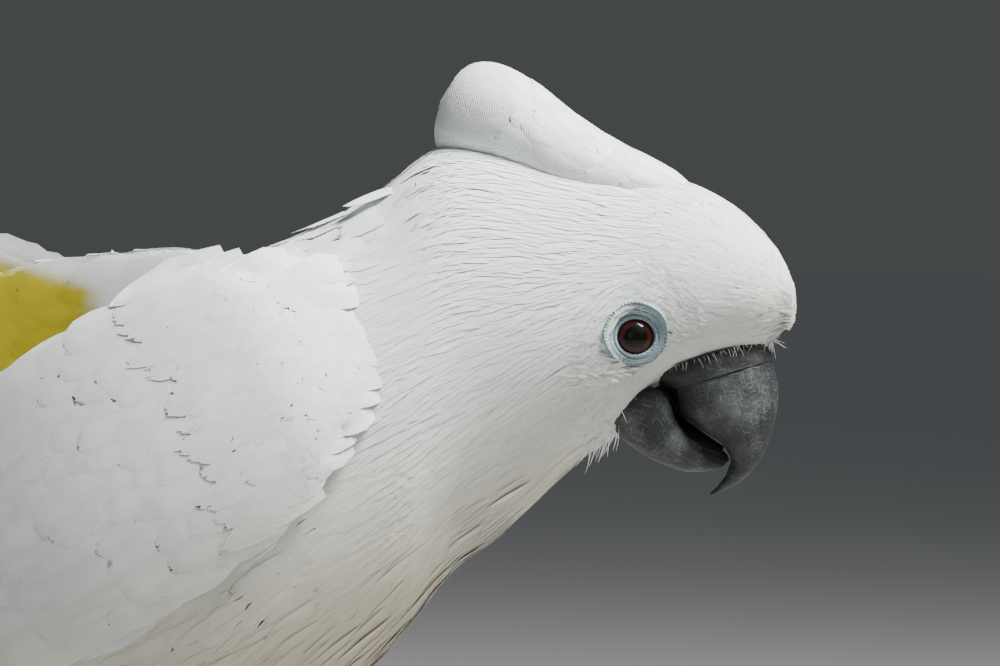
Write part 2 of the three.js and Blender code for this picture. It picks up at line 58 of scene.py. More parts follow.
Values = np.ndarray
Points = np.ndarray
Place = Callable[[Values, Values, Values], Points]
Tint = Callable[[Points], Values]
Piece = bpy.types.Object
Material = bpy.types.Material
Socket = bpy.types.NodeSocket


class Side(Enum):
    """The two sides of the bird, by the sign of Y."""

    RIGHT = -1
    LEFT = 1

    @property
    def word(self) -> str:
        """The side's name as the solids' names use it."""
        return self.name.lower()


def spread(*arrays: Values) -> list[Values]:
    """Arrays as floats of one shape."""
    return [np.asarray(a, float) for a in np.broadcast_arrays(*arrays)]


def unit(vectors: Points) -> Points:
    """Vectors scaled to length one."""
    return vectors / np.maximum(np.linalg.norm(vectors, axis=-1, keepdims=True), 1e-9)


def full_turn(count: int) -> Values:
    """Angles spaced evenly round a full turn."""
    return np.linspace(0, 2 * math.pi, count, endpoint=False)


def eased(share: Values) -> Values:
    """A share from 0 to 1 that starts and stops gently."""
    return share * share * (3 - 2 * share)


def run_along(line: Points) -> Values:
    """The length run at each point of a line."""
    return np.concatenate([[0], np.cumsum(np.linalg.norm(np.diff(line, axis=0), axis=1))])


def smooth_curve(points: Values, share: Values) -> Points:
    """A smooth curve through points.

    Args:
        points: The points, one a row.
        share: Places along it from 0 to 1, evenly counted by point.

    Returns:
        The curve's point at each place.
    """
    last = len(points) - 1
    at = np.clip(share, 0, 1) * last
    index = np.minimum(at.astype(int), last - 1)
    part = (at - index)[..., None]
    row = np.vstack([2 * points[0] - points[1], points, 2 * points[-1] - points[-2]])
    p0, p1, p2, p3 = row[index], row[index + 1], row[index + 2], row[index + 3]
    m1, m2 = 0.5 * (p2 - p0), 0.5 * (p3 - p1)
    s2, s3 = part**2, part**3
    return (2 * s3 - 3 * s2 + 1) * p1 + (s3 - 2 * s2 + part) * m1 + (3 * s2 - 2 * s3) * p2 + (s3 - s2) * m2


@dataclass(frozen=True)
class HeadTurn:
    """The turn of head and neck to the right, as a bend of what lies in front."""

    start: float = 52.0
    end: float = 96.0
    angle: float = math.radians(9)

    def apply(self, points: Points) -> Points:
        """Points of the straight bird, where the turn takes them."""
        x, y, z = np.moveaxis(points, -1, 0)
        bent = np.clip((x - self.start) / (self.end - self.start), 0, 1)
        curve = self.angle / (self.end - self.start)
        angle = self.angle * bent
        past = np.maximum(0, x - self.end)
        turned_x = self.start + np.sin(angle) / curve + past * np.cos(angle) + y * np.sin(angle)
        turned_y = -(1 - np.cos(angle)) / curve - past * np.sin(angle) + y * np.cos(angle)
        return np.stack([np.where(bent > 0, turned_x, x), np.where(bent > 0, turned_y, y), z], -1)


TURN = HeadTurn()


@dataclass(frozen=True)
class Outline:
    """A form that is the same left and right: rows of (top x, top z, low x, low z, half width, waist)."""

    rows: tuple[tuple[float, ...], ...]
    square: float = 1.0

    @property
    def last(self) -> int:
        """The number of the last row."""
        return len(self.rows) - 1

    def row(self, at: Values) -> Points:
        """The row's six numbers at places counted in rows, carried straight on past the last row."""
        table = np.array(self.rows)
        past = np.maximum(0, at - self.last)[..., None] * (table[-1] - table[-2])
        past[..., 4:] = 0
        return smooth_curve(table, np.asarray(at, float) / self.last) + past

    def point(self, at: Values, angle: Values, out: Values) -> Points:
        """A point of the surface.

        Args:
            at: The place along the form, in rows.
            angle: The angle round it from the top, positive to the left.
            out: How far out from the surface.

        Returns:
            The points, with the head's turn.
        """
        at, angle, out = spread(at, angle, out)
        row = self.row(at)
        top, low, half, waist = row[..., 0:2], row[..., 2:4], row[..., 4], row[..., 5]
        depth = np.linalg.norm(top - low, axis=-1)
        up = (top - low) / depth[..., None]
        high = np.sign(np.cos(angle)) * np.abs(np.cos(angle)) ** self.square
        wide = np.sign(np.sin(angle)) * np.abs(np.sin(angle)) ** self.square
        reach = np.where(high > 0, depth * (1 - waist), depth * waist) + out
        middle = low + up * (depth * waist + high * reach)[..., None]
        return TURN.apply(np.stack([middle[..., 0], wide * (half + out), middle[..., 1]], -1))


BODY = Outline((
    (145.4, 164, 144.2, 153.6, 7, 0.5),
    (141, 172.6, 138.6, 149.2, 13.5, 0.48),
    (132.6, 181.2, 126.6, 145.2, 18, 0.47),
    (121, 187.4, 113.4, 139.6, 20.8, 0.47),
    (107.6, 190, 103.4, 127.6, 23.6, 0.49),
    (92, 192.5, 93.5, 121, 28, 0.47),
    (76, 196, 84, 111.5, 31.5, 0.48),
    (60.5, 195.4, 74, 102.5, 34.5, 0.5),
    (47, 185, 64, 95, 38, 0.52),
    (32, 176.4, 54, 82.5, 42, 0.53),
    (11, 167.5, 40, 68, 46, 0.53),
    (-13, 156, 22, 54, 48.5, 0.52),
    (-36, 141, 0, 45.5, 48, 0.5),
    (-58, 120, -25, 41.5, 43, 0.5),
    (-78, 98, -50, 41, 34.5, 0.5),
    (-96, 78, -76, 41, 26, 0.52),
    (-112, 62, -100, 38.5, 19, 0.55),
    (-128, 50.5, -123, 36, 13.5, 0.6),
    (-146, 43, -141, 33.4, 10, 0.6),
    (-163, 38, -158, 31, 6.5, 0.6),
))


def cheek(at: Values, angle: Values) -> Values:
    """How much the coat fills out the jaw below the eye."""
    return 2.4 * np.exp(-(((at - 3.5) / 1.5) ** 2) - ((np.abs(angle) - 2.1) / 0.5) ** 2)


def head_point(at: Values, angle: Values, out: Values) -> Points:
    """A point of the head's coat; places below 0 close over the front, round a pole above the bill."""
    at, angle, out = spread(at, angle, out)
    ring = BODY.point(np.maximum(at, 0), angle, out + cheek(at, angle))
    pole = TURN.apply(np.array([[144.5, 0.0, 153.2]]))[0]
    share = np.clip(-at, 0, 1)[..., None]
    ahead = np.array([math.cos(TURN.angle), -math.sin(TURN.angle), 0.0])
    bulge = 0.8 * np.sin(share * math.pi) + 0.2 * share + share * out[..., None]
    return ring * (1 - share) + pole * share + ahead * bulge


UPPER_BILL = Outline((
    (140.6, 145.4, 117.4, 138.9, 12.2, 0.36),
    (142, 139.8, 118.6, 133.4, 11.4, 0.38),
    (141.8, 133.6, 123.2, 129.4, 9.6, 0.4),
    (140.4, 127.6, 128.2, 126.4, 7.4, 0.42),
    (138.2, 122.4, 130.8, 122.8, 5.2, 0.45),
    (134.6, 117.9, 130.2, 119.4, 3.3, 0.5),
    (130.2, 115, 128.4, 116.4, 1.7, 0.5),
    (126, 113.4, 126.2, 114.1, 0.5, 0.5),
))
CERE = Outline((
    (139.2, 151.2, 112.4, 142.6, 12, 0.36),
    (140.1, 148.5, 113.4, 140.4, 12.8, 0.36),
    (140.6, 145.9, 116.9, 138.9, 12.5, 0.36),
))
LOWER_BILL = Outline((
    (103.6, 137.8, 102.2, 131.4, 12, 0.5),
    (110.8, 141, 105.4, 126.8, 12.6, 0.55),
    (116.8, 138.8, 110.8, 122.9, 12, 0.6),
    (119.2, 132, 115.6, 120.6, 10.8, 0.6),
    (121.4, 128.1, 120.1, 119.2, 9, 0.58),
    (124.4, 125.6, 124.5, 119.1, 6.8, 0.56),
    (127.4, 124, 128.2, 119.9, 4.2, 0.54),
    (130, 123.2, 130.5, 121.7, 1.4, 0.5),
), square=0.8)
TONGUE = Outline((
    (111.5, 140.2, 110.0, 133.0, 5.0, 0.5),
    (116.2, 137.0, 113.6, 128.0, 5.6, 0.5),
    (118.6, 132.8, 116.4, 125.0, 5.4, 0.5),
    (122.6, 129.6, 120.6, 123.4, 4.4, 0.5),
    (126.4, 127.0, 125.2, 122.6, 3.0, 0.5),
    (129.2, 125.2, 128.8, 123.2, 1.2, 0.5),
))


@dataclass(frozen=True)
class Limb:
    """A rounded limb along a curve, with a half width and half height that change along it."""

    spine: tuple[tuple[float, float, float], ...]
    wide: Callable[[Values], Values]
    high: Callable[[Values], Values]
    floor: float = -1e9

    def point(self, share: Values, angle: Values, out: Values) -> Points:
        """A point of the surface at a share of the length, an angle from the top and a distance out."""
        share, angle, out = spread(share, angle, out)
        fine = np.linspace(0, 1, 200)
        line = smooth_curve(np.array(self.spine, float), fine)
        far = run_along(line)
        at = np.clip(share, 0, 1) * far[-1]
        centre = np.stack([np.interp(at, far, line[:, i]) for i in range(3)], -1)
        slope = np.gradient(line, axis=0)
        ahead = unit(np.stack([np.interp(at, far, slope[:, i]) for i in range(3)], -1))
        side = unit(np.array([0.0, 1, 0]) - ahead * ahead[..., 1:2])
        up = np.cross(ahead, side)
        half, tall = self.wide(share) + out, self.high(share) + out
        spot = centre + side * (np.sin(angle) * half)[..., None] + up * (np.cos(angle) * tall)[..., None]
        spot[..., 2] = np.maximum(spot[..., 2], self.floor)
        return spot


@dataclass(frozen=True)
class FeatherRow:
    """Long feathers spaced evenly from a first to a last one: roots, tips and layers of both."""

    roots: tuple[tuple[float, float], tuple[float, float]]
    tips: tuple[tuple[float, float], tuple[float, float]]
    layers: tuple[float, float]
    width: float
    count: int


class WingShape:
    """One wing, laid out flat: a runs from the bend to the tips, b from the lower edge up to the back."""

    CLEAR = 4.4
    WRAP = 0.84
    MASS_THICK = 5.0
    # The rounded mass of the arm: a, low b, high b and how thick it is.
    MASS = np.array([
        (-9, 17, 34, 0.4),
        (-6, 8.5, 46, 0.75),
        (2, 0.5, 54, 1),
        (16, -6, 58, 1.05),
        (36, -9, 59, 0.95),
        (58, -9.5, 57, 0.75),
        (80, -8, 52, 0.5),
        (98, -3, 43, 0.3),
        (108, 8, 32, 0.16),
    ])

    def __init__(self, side: Side, bend: tuple[float, float], dip: float, apart: float) -> None:
        """Keeps the wing's place: its bend in side view, its dip in degrees and its slope off the body."""
        self.side = side
        self.bend = bend
        self.dip = math.radians(dip)
        self.apart = apart
        row = BODY.row(np.linspace(0.0, BODY.last, 111))
        self._low = row[:, 2:4]
        self._up = row[:, 0:2] - row[:, 2:4]
        self._half = row[:, 4]
        self._waist = row[:, 5]

    def _body_half(self, x: Values, z: Values) -> Values:
        """Half the body's width at places in side view, eased to a steady share past the edges."""
        dx = x[..., None] - self._low[:, 0]
        dz = z[..., None] - self._low[:, 1]
        passed = self._up[:, 0] * dz - self._up[:, 1] * dx
        height = (dx * self._up[:, 0] + dz * self._up[:, 1]) / (self._up**2).sum(1)
        waist = self._waist
        off = np.where(height > waist, (height - waist) / (1 - waist), (waist - height) / waist)
        bowed = self.WRAP * np.tanh(off / self.WRAP)
        halves = self._half * np.sqrt(1 - bowed**2)
        after = np.where((passed <= 0).any(-1), (passed <= 0).argmax(-1), len(self._half) - 1)
        before = np.maximum(after - 1, 0)
        pick = lambda table, index: np.take_along_axis(table, index[..., None], -1)[..., 0]
        ahead, behind = pick(passed, before), pick(passed, after)
        gap = np.where(np.abs(ahead - behind) < 1e-9, 1, ahead - behind)
        share = np.clip(np.where(after == before, 0, ahead / gap), 0, 1)
        return pick(halves, before) * (1 - share) + pick(halves, after) * share

    def point(self, a: Values, b: Values, layer: Values) -> Points:
        """Points of the wing from places in the flat layout and layers counted square to the body."""
        a, b, layer = spread(a, b, layer)
        x = self.bend[0] - a * math.cos(self.dip) - b * math.sin(self.dip)
        z = self.bend[1] - a * math.sin(self.dip) + b * math.cos(self.dip)
        half = self._body_half
        slope_x = (half(x + 2, z) - half(x - 2, z)) / 4
        slope_z = (half(x, z + 2) - half(x, z - 2)) / 4
        outward = unit(np.stack([-slope_x, np.ones_like(x), -slope_z], -1))
        spot = np.stack([x, half(x, z) + np.maximum(0, a) * self.apart, z], -1)
        spot = spot + outward * (self.CLEAR + layer)[..., None]
        spot[..., 1] *= self.side.value
        return spot

    def _arm(self, a: Values, **past: float) -> tuple[Values, ...]:
        """The arm's lower edge, upper edge and thickness at places along the wing."""
        return tuple(np.interp(a, self.MASS[:, 0], self.MASS[:, i], **past) for i in (1, 2, 3))

    def mass_layer(self, a: Values, b: Values) -> Values:
        """How far the arm's rounded mass stands up from the wing's own layer."""
        low, high, thick = self._arm(a, left=0, right=0)
        off = (b - 0.5 * (low + high)) / np.maximum(0.5 * (high - low), 1)
        return self.MASS_THICK * thick * np.sqrt(np.maximum(0, 1 - off**2))

    def outer(self, a: Values, b: Values, out: Values) -> Points:
        """Points over the wing's outer face, coverts and all."""
        return self.point(a, b, self.mass_layer(a, b) + out)

    def edges(self, a: Values) -> tuple[Values, Values]:
        """The arm's lower and upper edge at places along the wing."""
        return self._arm(a)[:2]

    def shoulder(self, a: Values, b: Values, out: Values) -> Points:
        """Points from the body's coat ahead of the bend, up over the front of the wing."""
        low, high, thick = self._arm(np.maximum(a, -6))
        off = np.clip((b - 0.5 * (low + high)) / (0.5 * (high - low)), -1, 1)
        climb = eased(np.clip((a + 26) / 24, 0, 1))
        high_layer = self.CLEAR + self.MASS_THICK * thick * np.sqrt(1 - off**2)
        return self.point(a, b, high_layer * climb + 0.7 * climb - 0.35 - self.CLEAR + out)

    def inner(self, a: Values, b: Values, out: Values) -> Points:
        """Points over the wing's inner face, with out counted towards the body."""
        return self.point(a, b, -self.mass_layer(a, b) - out)

    def mass(self, share: Values, angle: Values, out: Values) -> Points:
        """Points round the arm's mass, from its front end to its back end."""
        share, angle, out = spread(share, angle, out)
        edge = smooth_curve(self.MASS, share)
        a, low, high, thick = np.moveaxis(edge, -1, 0)
        b = 0.5 * (low + high) + np.sin(angle) * (0.5 * (high - low) + out)
        return self.point(a, b, np.cos(angle) * np.maximum(self.MASS_THICK * thick + out, 0.2))


RIGHT_WING = WingShape(Side.RIGHT, (36, 120), 28, 0)
LEFT_WING = WingShape(Side.LEFT, (33, 109.6), -5.5, 0.17)


# ---------- meshes ----------


def place_in_frame(points: Points) -> Points:
    """The bird's millimetres as the frame's metres."""
    return (np.asarray(points).reshape(-1, 3) + ORIGIN) * MM


def add_object(name: str, data: bpy.types.ID) -> Piece:
    """Puts a mesh, a light or a camera in the scene."""
    added = bpy.data.objects.new(name, data)
    bpy.context.scene.collection.objects.link(added)
    return added


def make_object(name: str, points: Points, faces: list, smooth: bool = True) -> Piece:
    """A mesh object in the frame.

    Args:
        name: The piece's name.
        points: Its points in the bird's millimetres.
        faces: Its faces, as lists of point numbers.
        smooth: Whether it is shaded smooth.

    Returns:
        The object, linked to the scene.
    """
    mesh = bpy.data.meshes.new(name)
    mesh.from_pydata(place_in_frame(points).tolist(), [], faces)
    mesh.polygons.foreach_set("use_smooth", [smooth] * len(mesh.polygons))
    mesh.update()
    return add_object(name, mesh)


def loft_faces(along: int, around: int) -> list[list[int]]:
    """Faces of a closed loft of rings, each of them around points, with a pole point at both ends.

    Args:
        along: The number of rings.
        around: The number of points in a ring.

    Returns:
        The faces; the two poles are the last two points.
    """
    faces = []
    for i in range(along - 1):
        for j in range(around):
            k = (j + 1) % around
            faces.append([i * around + j, i * around + k, (i + 1) * around + k, (i + 1) * around + j])
    first, last = along * around, along * around + 1
    end = (along - 1) * around
    for j in range(around):
        k = (j + 1) % around
        faces.append([first, k, j])
        faces.append([last, end + j, end + k])
    return faces


def with_poles(rings: Points) -> Points:
    """The points of a loft's rings, then the pole points that close its two ends."""
    return np.vstack([rings.reshape(-1, 3), rings[0].mean(0), rings[-1].mean(0)])


def loft(name: str, place: Place, start: float, end: float, along: int, around: int,
         out: float = 0.0, run: tuple[float, float] | None = None) -> Piece:
    """A closed form lofted from a surface.

    Args:
        name: The piece's name.
        place: The surface, by place along, angle round and distance out.
        start: Where it starts along.
        end: Where it ends along.
        along: The number of rings.
        around: The points in a ring.
        out: How far it is grown.
        run: Its length and middling radius in millimetres, where its finish reads the way along it.

    Returns:
        The object, with its faces pointing out.
    """
    at = np.linspace(start, end, along)[:, None]
    angle = full_turn(around)[None, :]
    rings = place(at, angle, np.full((along, around), out))
    piece = make_object(name, with_poles(rings), loft_faces(along, around))
    turn_outward(piece)
    if run:
        note_run(piece, *run, along, around)
    return piece


def note_run(piece: Piece, long: float, stout: float, along: int, around: int) -> None:
    """Gives a loft the millimetres along and round it at each point.

    Args:
        piece: The loft.
        long: Its length.
        stout: Its middling radius.
        along: Its rings.
        around: The points in a ring.
    """
    run = np.repeat(np.linspace(0, long, along), around)
    turn = np.tile(np.abs(np.linspace(-math.pi, math.pi, around, endpoint=False)) * stout, along)
    note(piece, "along", np.append(run, [0.0, long]))
    note(piece, "round", np.append(turn, [0.0, 0.0]))


def vertex_values(piece: Piece, what: str) -> Points:
    """A mesh's places or normals, point by point, as the frame has them."""
    flat = np.zeros(len(piece.data.vertices) * 3, np.float32)
    piece.data.vertices.foreach_get(what, flat)
    return flat.reshape(-1, 3).astype(float)


def turn_outward(piece: Piece) -> None:
    """Turns a closed mesh's faces outward where its volume is negative."""
    mesh = piece.data
    mesh.calc_loop_triangles()
    points = vertex_values(piece, "co")
    corners = np.zeros(len(mesh.loop_triangles) * 3, int)
    mesh.loop_triangles.foreach_get("vertices", corners)
    a, b, c = (points[corners.reshape(-1, 3)[:, i]] for i in range(3))
    if np.einsum("ij,ij->i", a, np.cross(b, c)).sum() < 0:
        mesh.flip_normals()


def vertex_array(piece: Piece) -> Points:
    """A mesh's points in the bird's millimetres."""
    return vertex_values(piece, "co") / MM - ORIGIN


def set_vertices(piece: Piece, points: Points) -> None:
    """Moves a mesh's points to places in the bird's millimetres."""
    piece.data.vertices.foreach_set("co", place_in_frame(points).ravel())
    piece.data.update()


def apply_modifiers(piece: Piece) -> None:
    """Turns a piece's modified shape into its plain mesh."""
    graph = bpy.context.evaluated_depsgraph_get()
    graph.update()
    shaped = bpy.data.meshes.new_from_object(piece.evaluated_get(graph))
    piece.modifiers.clear()
    piece.data = shaped


def join(first: Piece, second: Piece) -> None:
    """Joins a second piece to a first one."""
    with bpy.context.temp_override(active_object=first, selected_editable_objects=[first, second]):
        bpy.ops.object.join()


def dress(piece: Piece, material: Material, slot: str, *nodes: str) -> None:
    """Gives a piece its finish and its place in the frame.

    Args:
        piece: The piece.
        material: Its finish.
        slot: The record's slot of that finish; not used.
        nodes: The solids that it replaces.
    """
    piece.data.materials.clear()
    piece.data.materials.append(material)
    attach(piece, ROOT_BODY)
    if nodes:
        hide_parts(*nodes)
    LOG.info("%s: %d triangles", piece.name, len(piece.data.loops) - 2 * len(piece.data.polygons))


def paint(piece: Piece, colours: Values) -> None:
    """Gives a mesh its tint, as linear red, green and blue at each point."""
    layer = piece.data.color_attributes.new("tint", "FLOAT_COLOR", "POINT")
    full = np.ones((len(colours), 4), np.float32)
    full[:, :3] = colours
    layer.data.foreach_set("color", full.ravel())


def note(piece: Piece, name: str, values: Values) -> None:
    """Gives a mesh a number at each point."""
    layer = piece.data.attributes.new(name, "FLOAT", "POINT")
    layer.data.foreach_set("value", np.asarray(values, np.float32))


def linear(red: float, green: float, blue: float) -> Values:
    """A colour of 0 to 255 as linear numbers."""
    share = np.array([red, green, blue]) / 255
    return np.where(share <= 0.04045, share / 12.92, ((share + 0.055) / 1.055) ** 2.4)


# ---------- finishes ----------


class Nodes:
    """A small helper that builds one material's node tree."""

    def __init__(self, name: str) -> None:
        """Starts a material with its main shader."""
        self.material = bpy.data.materials.new(name)
        self.material.use_nodes = True
        self.tree = self.material.node_tree
        self.shader = self.tree.nodes["Principled BSDF"]

    def add(self, kind: str, **settings: object) -> bpy.types.Node:
        """Adds a node of a kind; settings that name an input set its value, and others its property."""
        node = self.tree.nodes.new(kind)
        for key, value in settings.items():
            label = key.replace("_", " ").title() if key not in node.inputs else key
            if label in node.inputs:
                node.inputs[label].default_value = value
            else:
                setattr(node, key, value)
        return node

    def link(self, source: Socket, target: Socket) -> None:
        """Joins an output to an input."""
        self.tree.links.new(source, target)

    def attribute(self, name: str) -> bpy.types.Node:
        """Reads one of the mesh's own attributes."""
        return self.add("ShaderNodeAttribute", attribute_name=name)

    def settle(self, values: dict[str, object]) -> None:
        """Sets numbers and colours on the main shader's own sockets."""
        for label, value in values.items():
            self.shader.inputs[label].default_value = value

    def maths(self, how: str, first: object, second: object = 0.0, third: object = 0.0) -> Socket:
        """One sum on sockets or numbers.

        Args:
            how: The operation's name.
            first: The first socket or number.
            second: The second one.
            third: The third one, where the operation has it.

        Returns:
            The result's socket.
        """
        node = self.add("ShaderNodeMath", operation=how)
        for socket, value in zip(node.inputs, (first, second, third)):
            if isinstance(value, Socket):
                self.link(value, socket)
            else:
                socket.default_value = value
        return node.outputs[0]

    def ramp(self, factor: Socket, stops: list[tuple[float, tuple[float, ...]]]) -> Socket:
        """A colour ramp.

        Args:
            factor: What it reads, from 0 to 1.
            stops: Each stop's place and linear colour.

        Returns:
            The colour's socket.
        """
        node = self.add("ShaderNodeValToRGB")
        elements = node.color_ramp.elements
        while len(elements) < len(stops):
            elements.new(0.5)
        for element, (place, colour) in zip(elements, stops):
            element.position = place
            element.color = (*colour[:3], 1)
        self.link(factor, node.inputs[0])
        return node.outputs[0]

    def mix(self, factor: object, first: object, second: object, how: str = "MIX") -> Socket:
        """Two colours mixed.

        Args:
            factor: The share of the second, a socket or a number.
            first: The first colour.
            second: The second colour.
            how: The way they blend.

        Returns:
            The colour's socket.
        """
        node = self.add("ShaderNodeMix", data_type="RGBA", blend_type=how)
        for socket, value in zip((node.inputs[0], node.inputs[6], node.inputs[7]), (factor, first, second)):
            if isinstance(value, Socket):
                self.link(value, socket)
            elif isinstance(value, (int, float)):
                socket.default_value = value
            else:
                socket.default_value = (*value[:3], 1)
        return node.outputs[2]

    def noise(self, scale: float, detail: float = 3.0) -> Socket:
        """Noise on the piece's own coordinates, in lumps per metre."""
        where = self.add("ShaderNodeTexCoord")
        node = self.add("ShaderNodeTexNoise", scale=scale, detail=detail)
        self.link(where.outputs["Object"], node.inputs["Vector"])
        return node.outputs[0]

    def bump(self, height: Socket, depth: float, after: Socket | None = None) -> Socket:
        """Relief of a depth in metres, on top of an earlier relief."""
        node = self.add("ShaderNodeBump")
        node.inputs["Distance"].default_value = depth
        node.inputs["Strength"].default_value = 1.0
        self.link(height, node.inputs["Height"])
        if after is not None:
            self.link(after, node.inputs["Normal"])
        return node.outputs[0]


@dataclass(frozen=True)
class FeatherFinish:
    """White plumage: tinted by its place, with barbs that run out from the shaft."""

    name: str
    barbs_per_mm: float = 2.0
    depth: float = 0.00002
    roughness: float = 0.72
    glow: float = 0.3

    def build(self) -> Material:
        """Makes the material."""
        made = Nodes(self.name)
        tint = made.attribute("tint").outputs["Color"]
        barb = made.attribute("barb").outputs["Fac"]
        wave = made.maths("SINE", made.maths("MULTIPLY", barb, self.barbs_per_mm * 2 * math.pi))
        lumps = made.noise(260, 4)
        shade = made.maths("MULTIPLY_ADD", lumps, 0.1, 0.93)
        fine = made.maths("MULTIPLY_ADD", wave, 0.02, shade)
        shade = made.ramp(fine, [(0.0, (0, 0, 0)), (1.0, (1, 1, 1))])
        colour = made.mix(1.0, tint, shade, "MULTIPLY")
        made.link(colour, made.shader.inputs["Base Color"])
        relief = made.bump(wave, self.depth)
        relief = made.bump(lumps, self.depth * 6, relief)
        made.link(relief, made.shader.inputs["Normal"])
        made.settle({
            "Roughness": self.roughness,
            "Subsurface Weight": self.glow,
            "Subsurface Radius": (1.0, 0.92, 0.8),
            "Subsurface Scale": 0.0015,
            "Sheen Weight": 0.2,
            "Sheen Roughness": 0.4,
            "Specular IOR Level": 0.25,
        })
        return made.material


@dataclass(frozen=True)
class SkinFinish:
    """Feathered skin under the coat: the coat's own tint, soft and matte."""

    name: str

    def build(self) -> Material:
        """Makes the material."""
        made = Nodes(self.name)
        tint = made.attribute("tint").outputs["Color"]
        down = made.noise(900, 5)
        shade = made.ramp(down, [(0.2, (0.86, 0.86, 0.85)), (0.8, (1, 1, 1))])
        made.link(made.mix(1.0, tint, shade, "MULTIPLY"), made.shader.inputs["Base Color"])
        made.link(made.bump(down, 0.0003), made.shader.inputs["Normal"])
        made.settle({"Roughness": 0.9, "Sheen Weight": 0.3})
        return made.material


@dataclass(frozen=True)
class HornFinish:
    """Charcoal horn under chalky powder, with scratches and worn patches."""

    name: str
    dark: tuple[float, float, float] = (0.016, 0.018, 0.019)
    chalk: tuple[float, float, float] = (0.16, 0.18, 0.178)
    powder: float = 0.22
    wear: float = 0.34
    scratch: float = 0.38

    def build(self) -> Material:
        """Makes the material."""
        made = Nodes(self.name)
        cloud = made.noise(130, 6)
        grain = made.noise(1500, 5)
        lines = made.maths("MAXIMUM", self._line(made, 2.6, 0.2), self._line(made, 0.5, 2.2))
        patch = made.attribute("worn").outputs["Fac"]
        amount = made.maths("MULTIPLY_ADD", cloud, 1.5, self.powder - 0.95)
        amount = made.maths("ADD", amount, made.maths("MULTIPLY", patch, self.wear))
        amount = made.maths("MULTIPLY_ADD", made.maths("SUBTRACT", grain, 0.5), 0.5, amount)
        amount = made.maths("MULTIPLY_ADD", lines, self.scratch, amount)
        dusty = tuple(0.45 * share for share in self.chalk)
        colour = made.ramp(amount, [(0.0, self.dark), (0.45, dusty), (1.0, self.chalk)])
        made.link(colour, made.shader.inputs["Base Color"])
        relief = made.bump(grain, 0.00006)
        relief = made.bump(lines, 0.00005, relief)
        relief = made.bump(cloud, 0.0003, relief)
        made.link(relief, made.shader.inputs["Normal"])
        made.settle({"Roughness": 0.62, "Specular IOR Level": 0.4})
        return made.material

    def _line(self, made: Nodes, round_scale: float, along_scale: float) -> Socket:
        """Thin pale scratches that run mostly along the horn.

        Args:
            made: The material's nodes.
            round_scale: Lumps for each millimetre round the horn.
            along_scale: Lumps for each millimetre along it.

        Returns:
            The scratches' strength.
        """
        where = made.add("ShaderNodeCombineXYZ")
        for label, scale, socket in (("round", round_scale, 0), ("along", along_scale, 1)):
            place = made.maths("MULTIPLY", made.attribute(label).outputs["Fac"], scale)
            made.link(place, where.inputs[socket])
        node = made.add("ShaderNodeTexNoise", scale=1.0, detail=6.0)
        made.link(where.outputs[0], node.inputs["Vector"])
        over = made.maths("MULTIPLY", made.maths("SUBTRACT", node.outputs[0], 0.56), 9.0)
        return made.maths("MINIMUM", 1.0, made.maths("MAXIMUM", 0.0, over))


@dataclass(frozen=True)
class BareSkinFinish:
    """Bare skin, finely wrinkled, bluish white round the eye or grey and scaly on the feet."""

    name: str
    pale: tuple[float, float, float]
    deep: tuple[float, float, float]
    cell: float
    relief: float
    roughness: float = 0.62

    def build(self) -> Material:
        """Makes the material."""
        made = Nodes(self.name)
        where = made.add("ShaderNodeTexCoord")
        cells = made.add("ShaderNodeTexVoronoi", feature="DISTANCE_TO_EDGE", scale=self.cell)
        made.link(where.outputs["Object"], cells.inputs["Vector"])
        edge = made.ramp(cells.outputs["Distance"], [(0.0, (0, 0, 0)), (0.16, (1, 1, 1))])
        cloud = made.noise(180, 5)
        base = made.ramp(cloud, [(0.3, self.deep), (0.7, self.pale)])
        colour = made.mix(0.75, base, made.mix(edge, self.deep, base))
        made.link(colour, made.shader.inputs["Base Color"])
        relief = made.bump(edge, self.relief)
        made.link(made.bump(made.noise(2500, 3), self.relief * 0.4, relief), made.shader.inputs["Normal"])
        made.settle({"Roughness": self.roughness})
        return made.material


@dataclass(frozen=True)
class EyeFinish:
    """A dark red-brown iris round a black pupil, under a clear cornea."""

    name: str
    pupil: float = 0.56

    def build(self) -> Material:
        """Makes the material."""
        made = Nodes(self.name)
        radial = made.attribute("radial").outputs["Fac"]
        black, rim = (0.0015, 0.001, 0.001), (0.006, 0.003, 0.003)
        iris, glow = (0.03, 0.006, 0.005), (0.055, 0.012, 0.008)
        colour = made.ramp(radial, [
            (0.0, black),
            (self.pupil, black),
            (self.pupil + 0.03, iris),
            (0.74, glow),
            (0.88, iris),
            (0.95, rim),
        ])
        streak = made.noise(2200, 2)
        made.link(made.mix(0.5, colour, made.mix(streak, colour, rim)), made.shader.inputs["Base Color"])
        made.settle({
            "Roughness": 0.5,
            "Specular IOR Level": 0.05,
            "Coat Weight": 1.0,
            "Coat IOR": 1.28,
            "Coat Roughness": 0.02,
        })
        return made.material


@dataclass(frozen=True)
class FloorFinish:
    """A plain pale studio floor."""

    name: str = "studio_floor"
    grey: float = 0.45

    def build(self) -> Material:
        """Makes the material."""
        made = Nodes(self.name)
        soft = made.noise(3, 2)
        low, high = 0.97 * self.grey, 1.03 * self.grey
        made.link(made.ramp(soft, [(0, (low,) * 3), (1, (high,) * 3)]), made.shader.inputs["Base Color"])
        made.settle({"Roughness": 0.9})
        return made.material


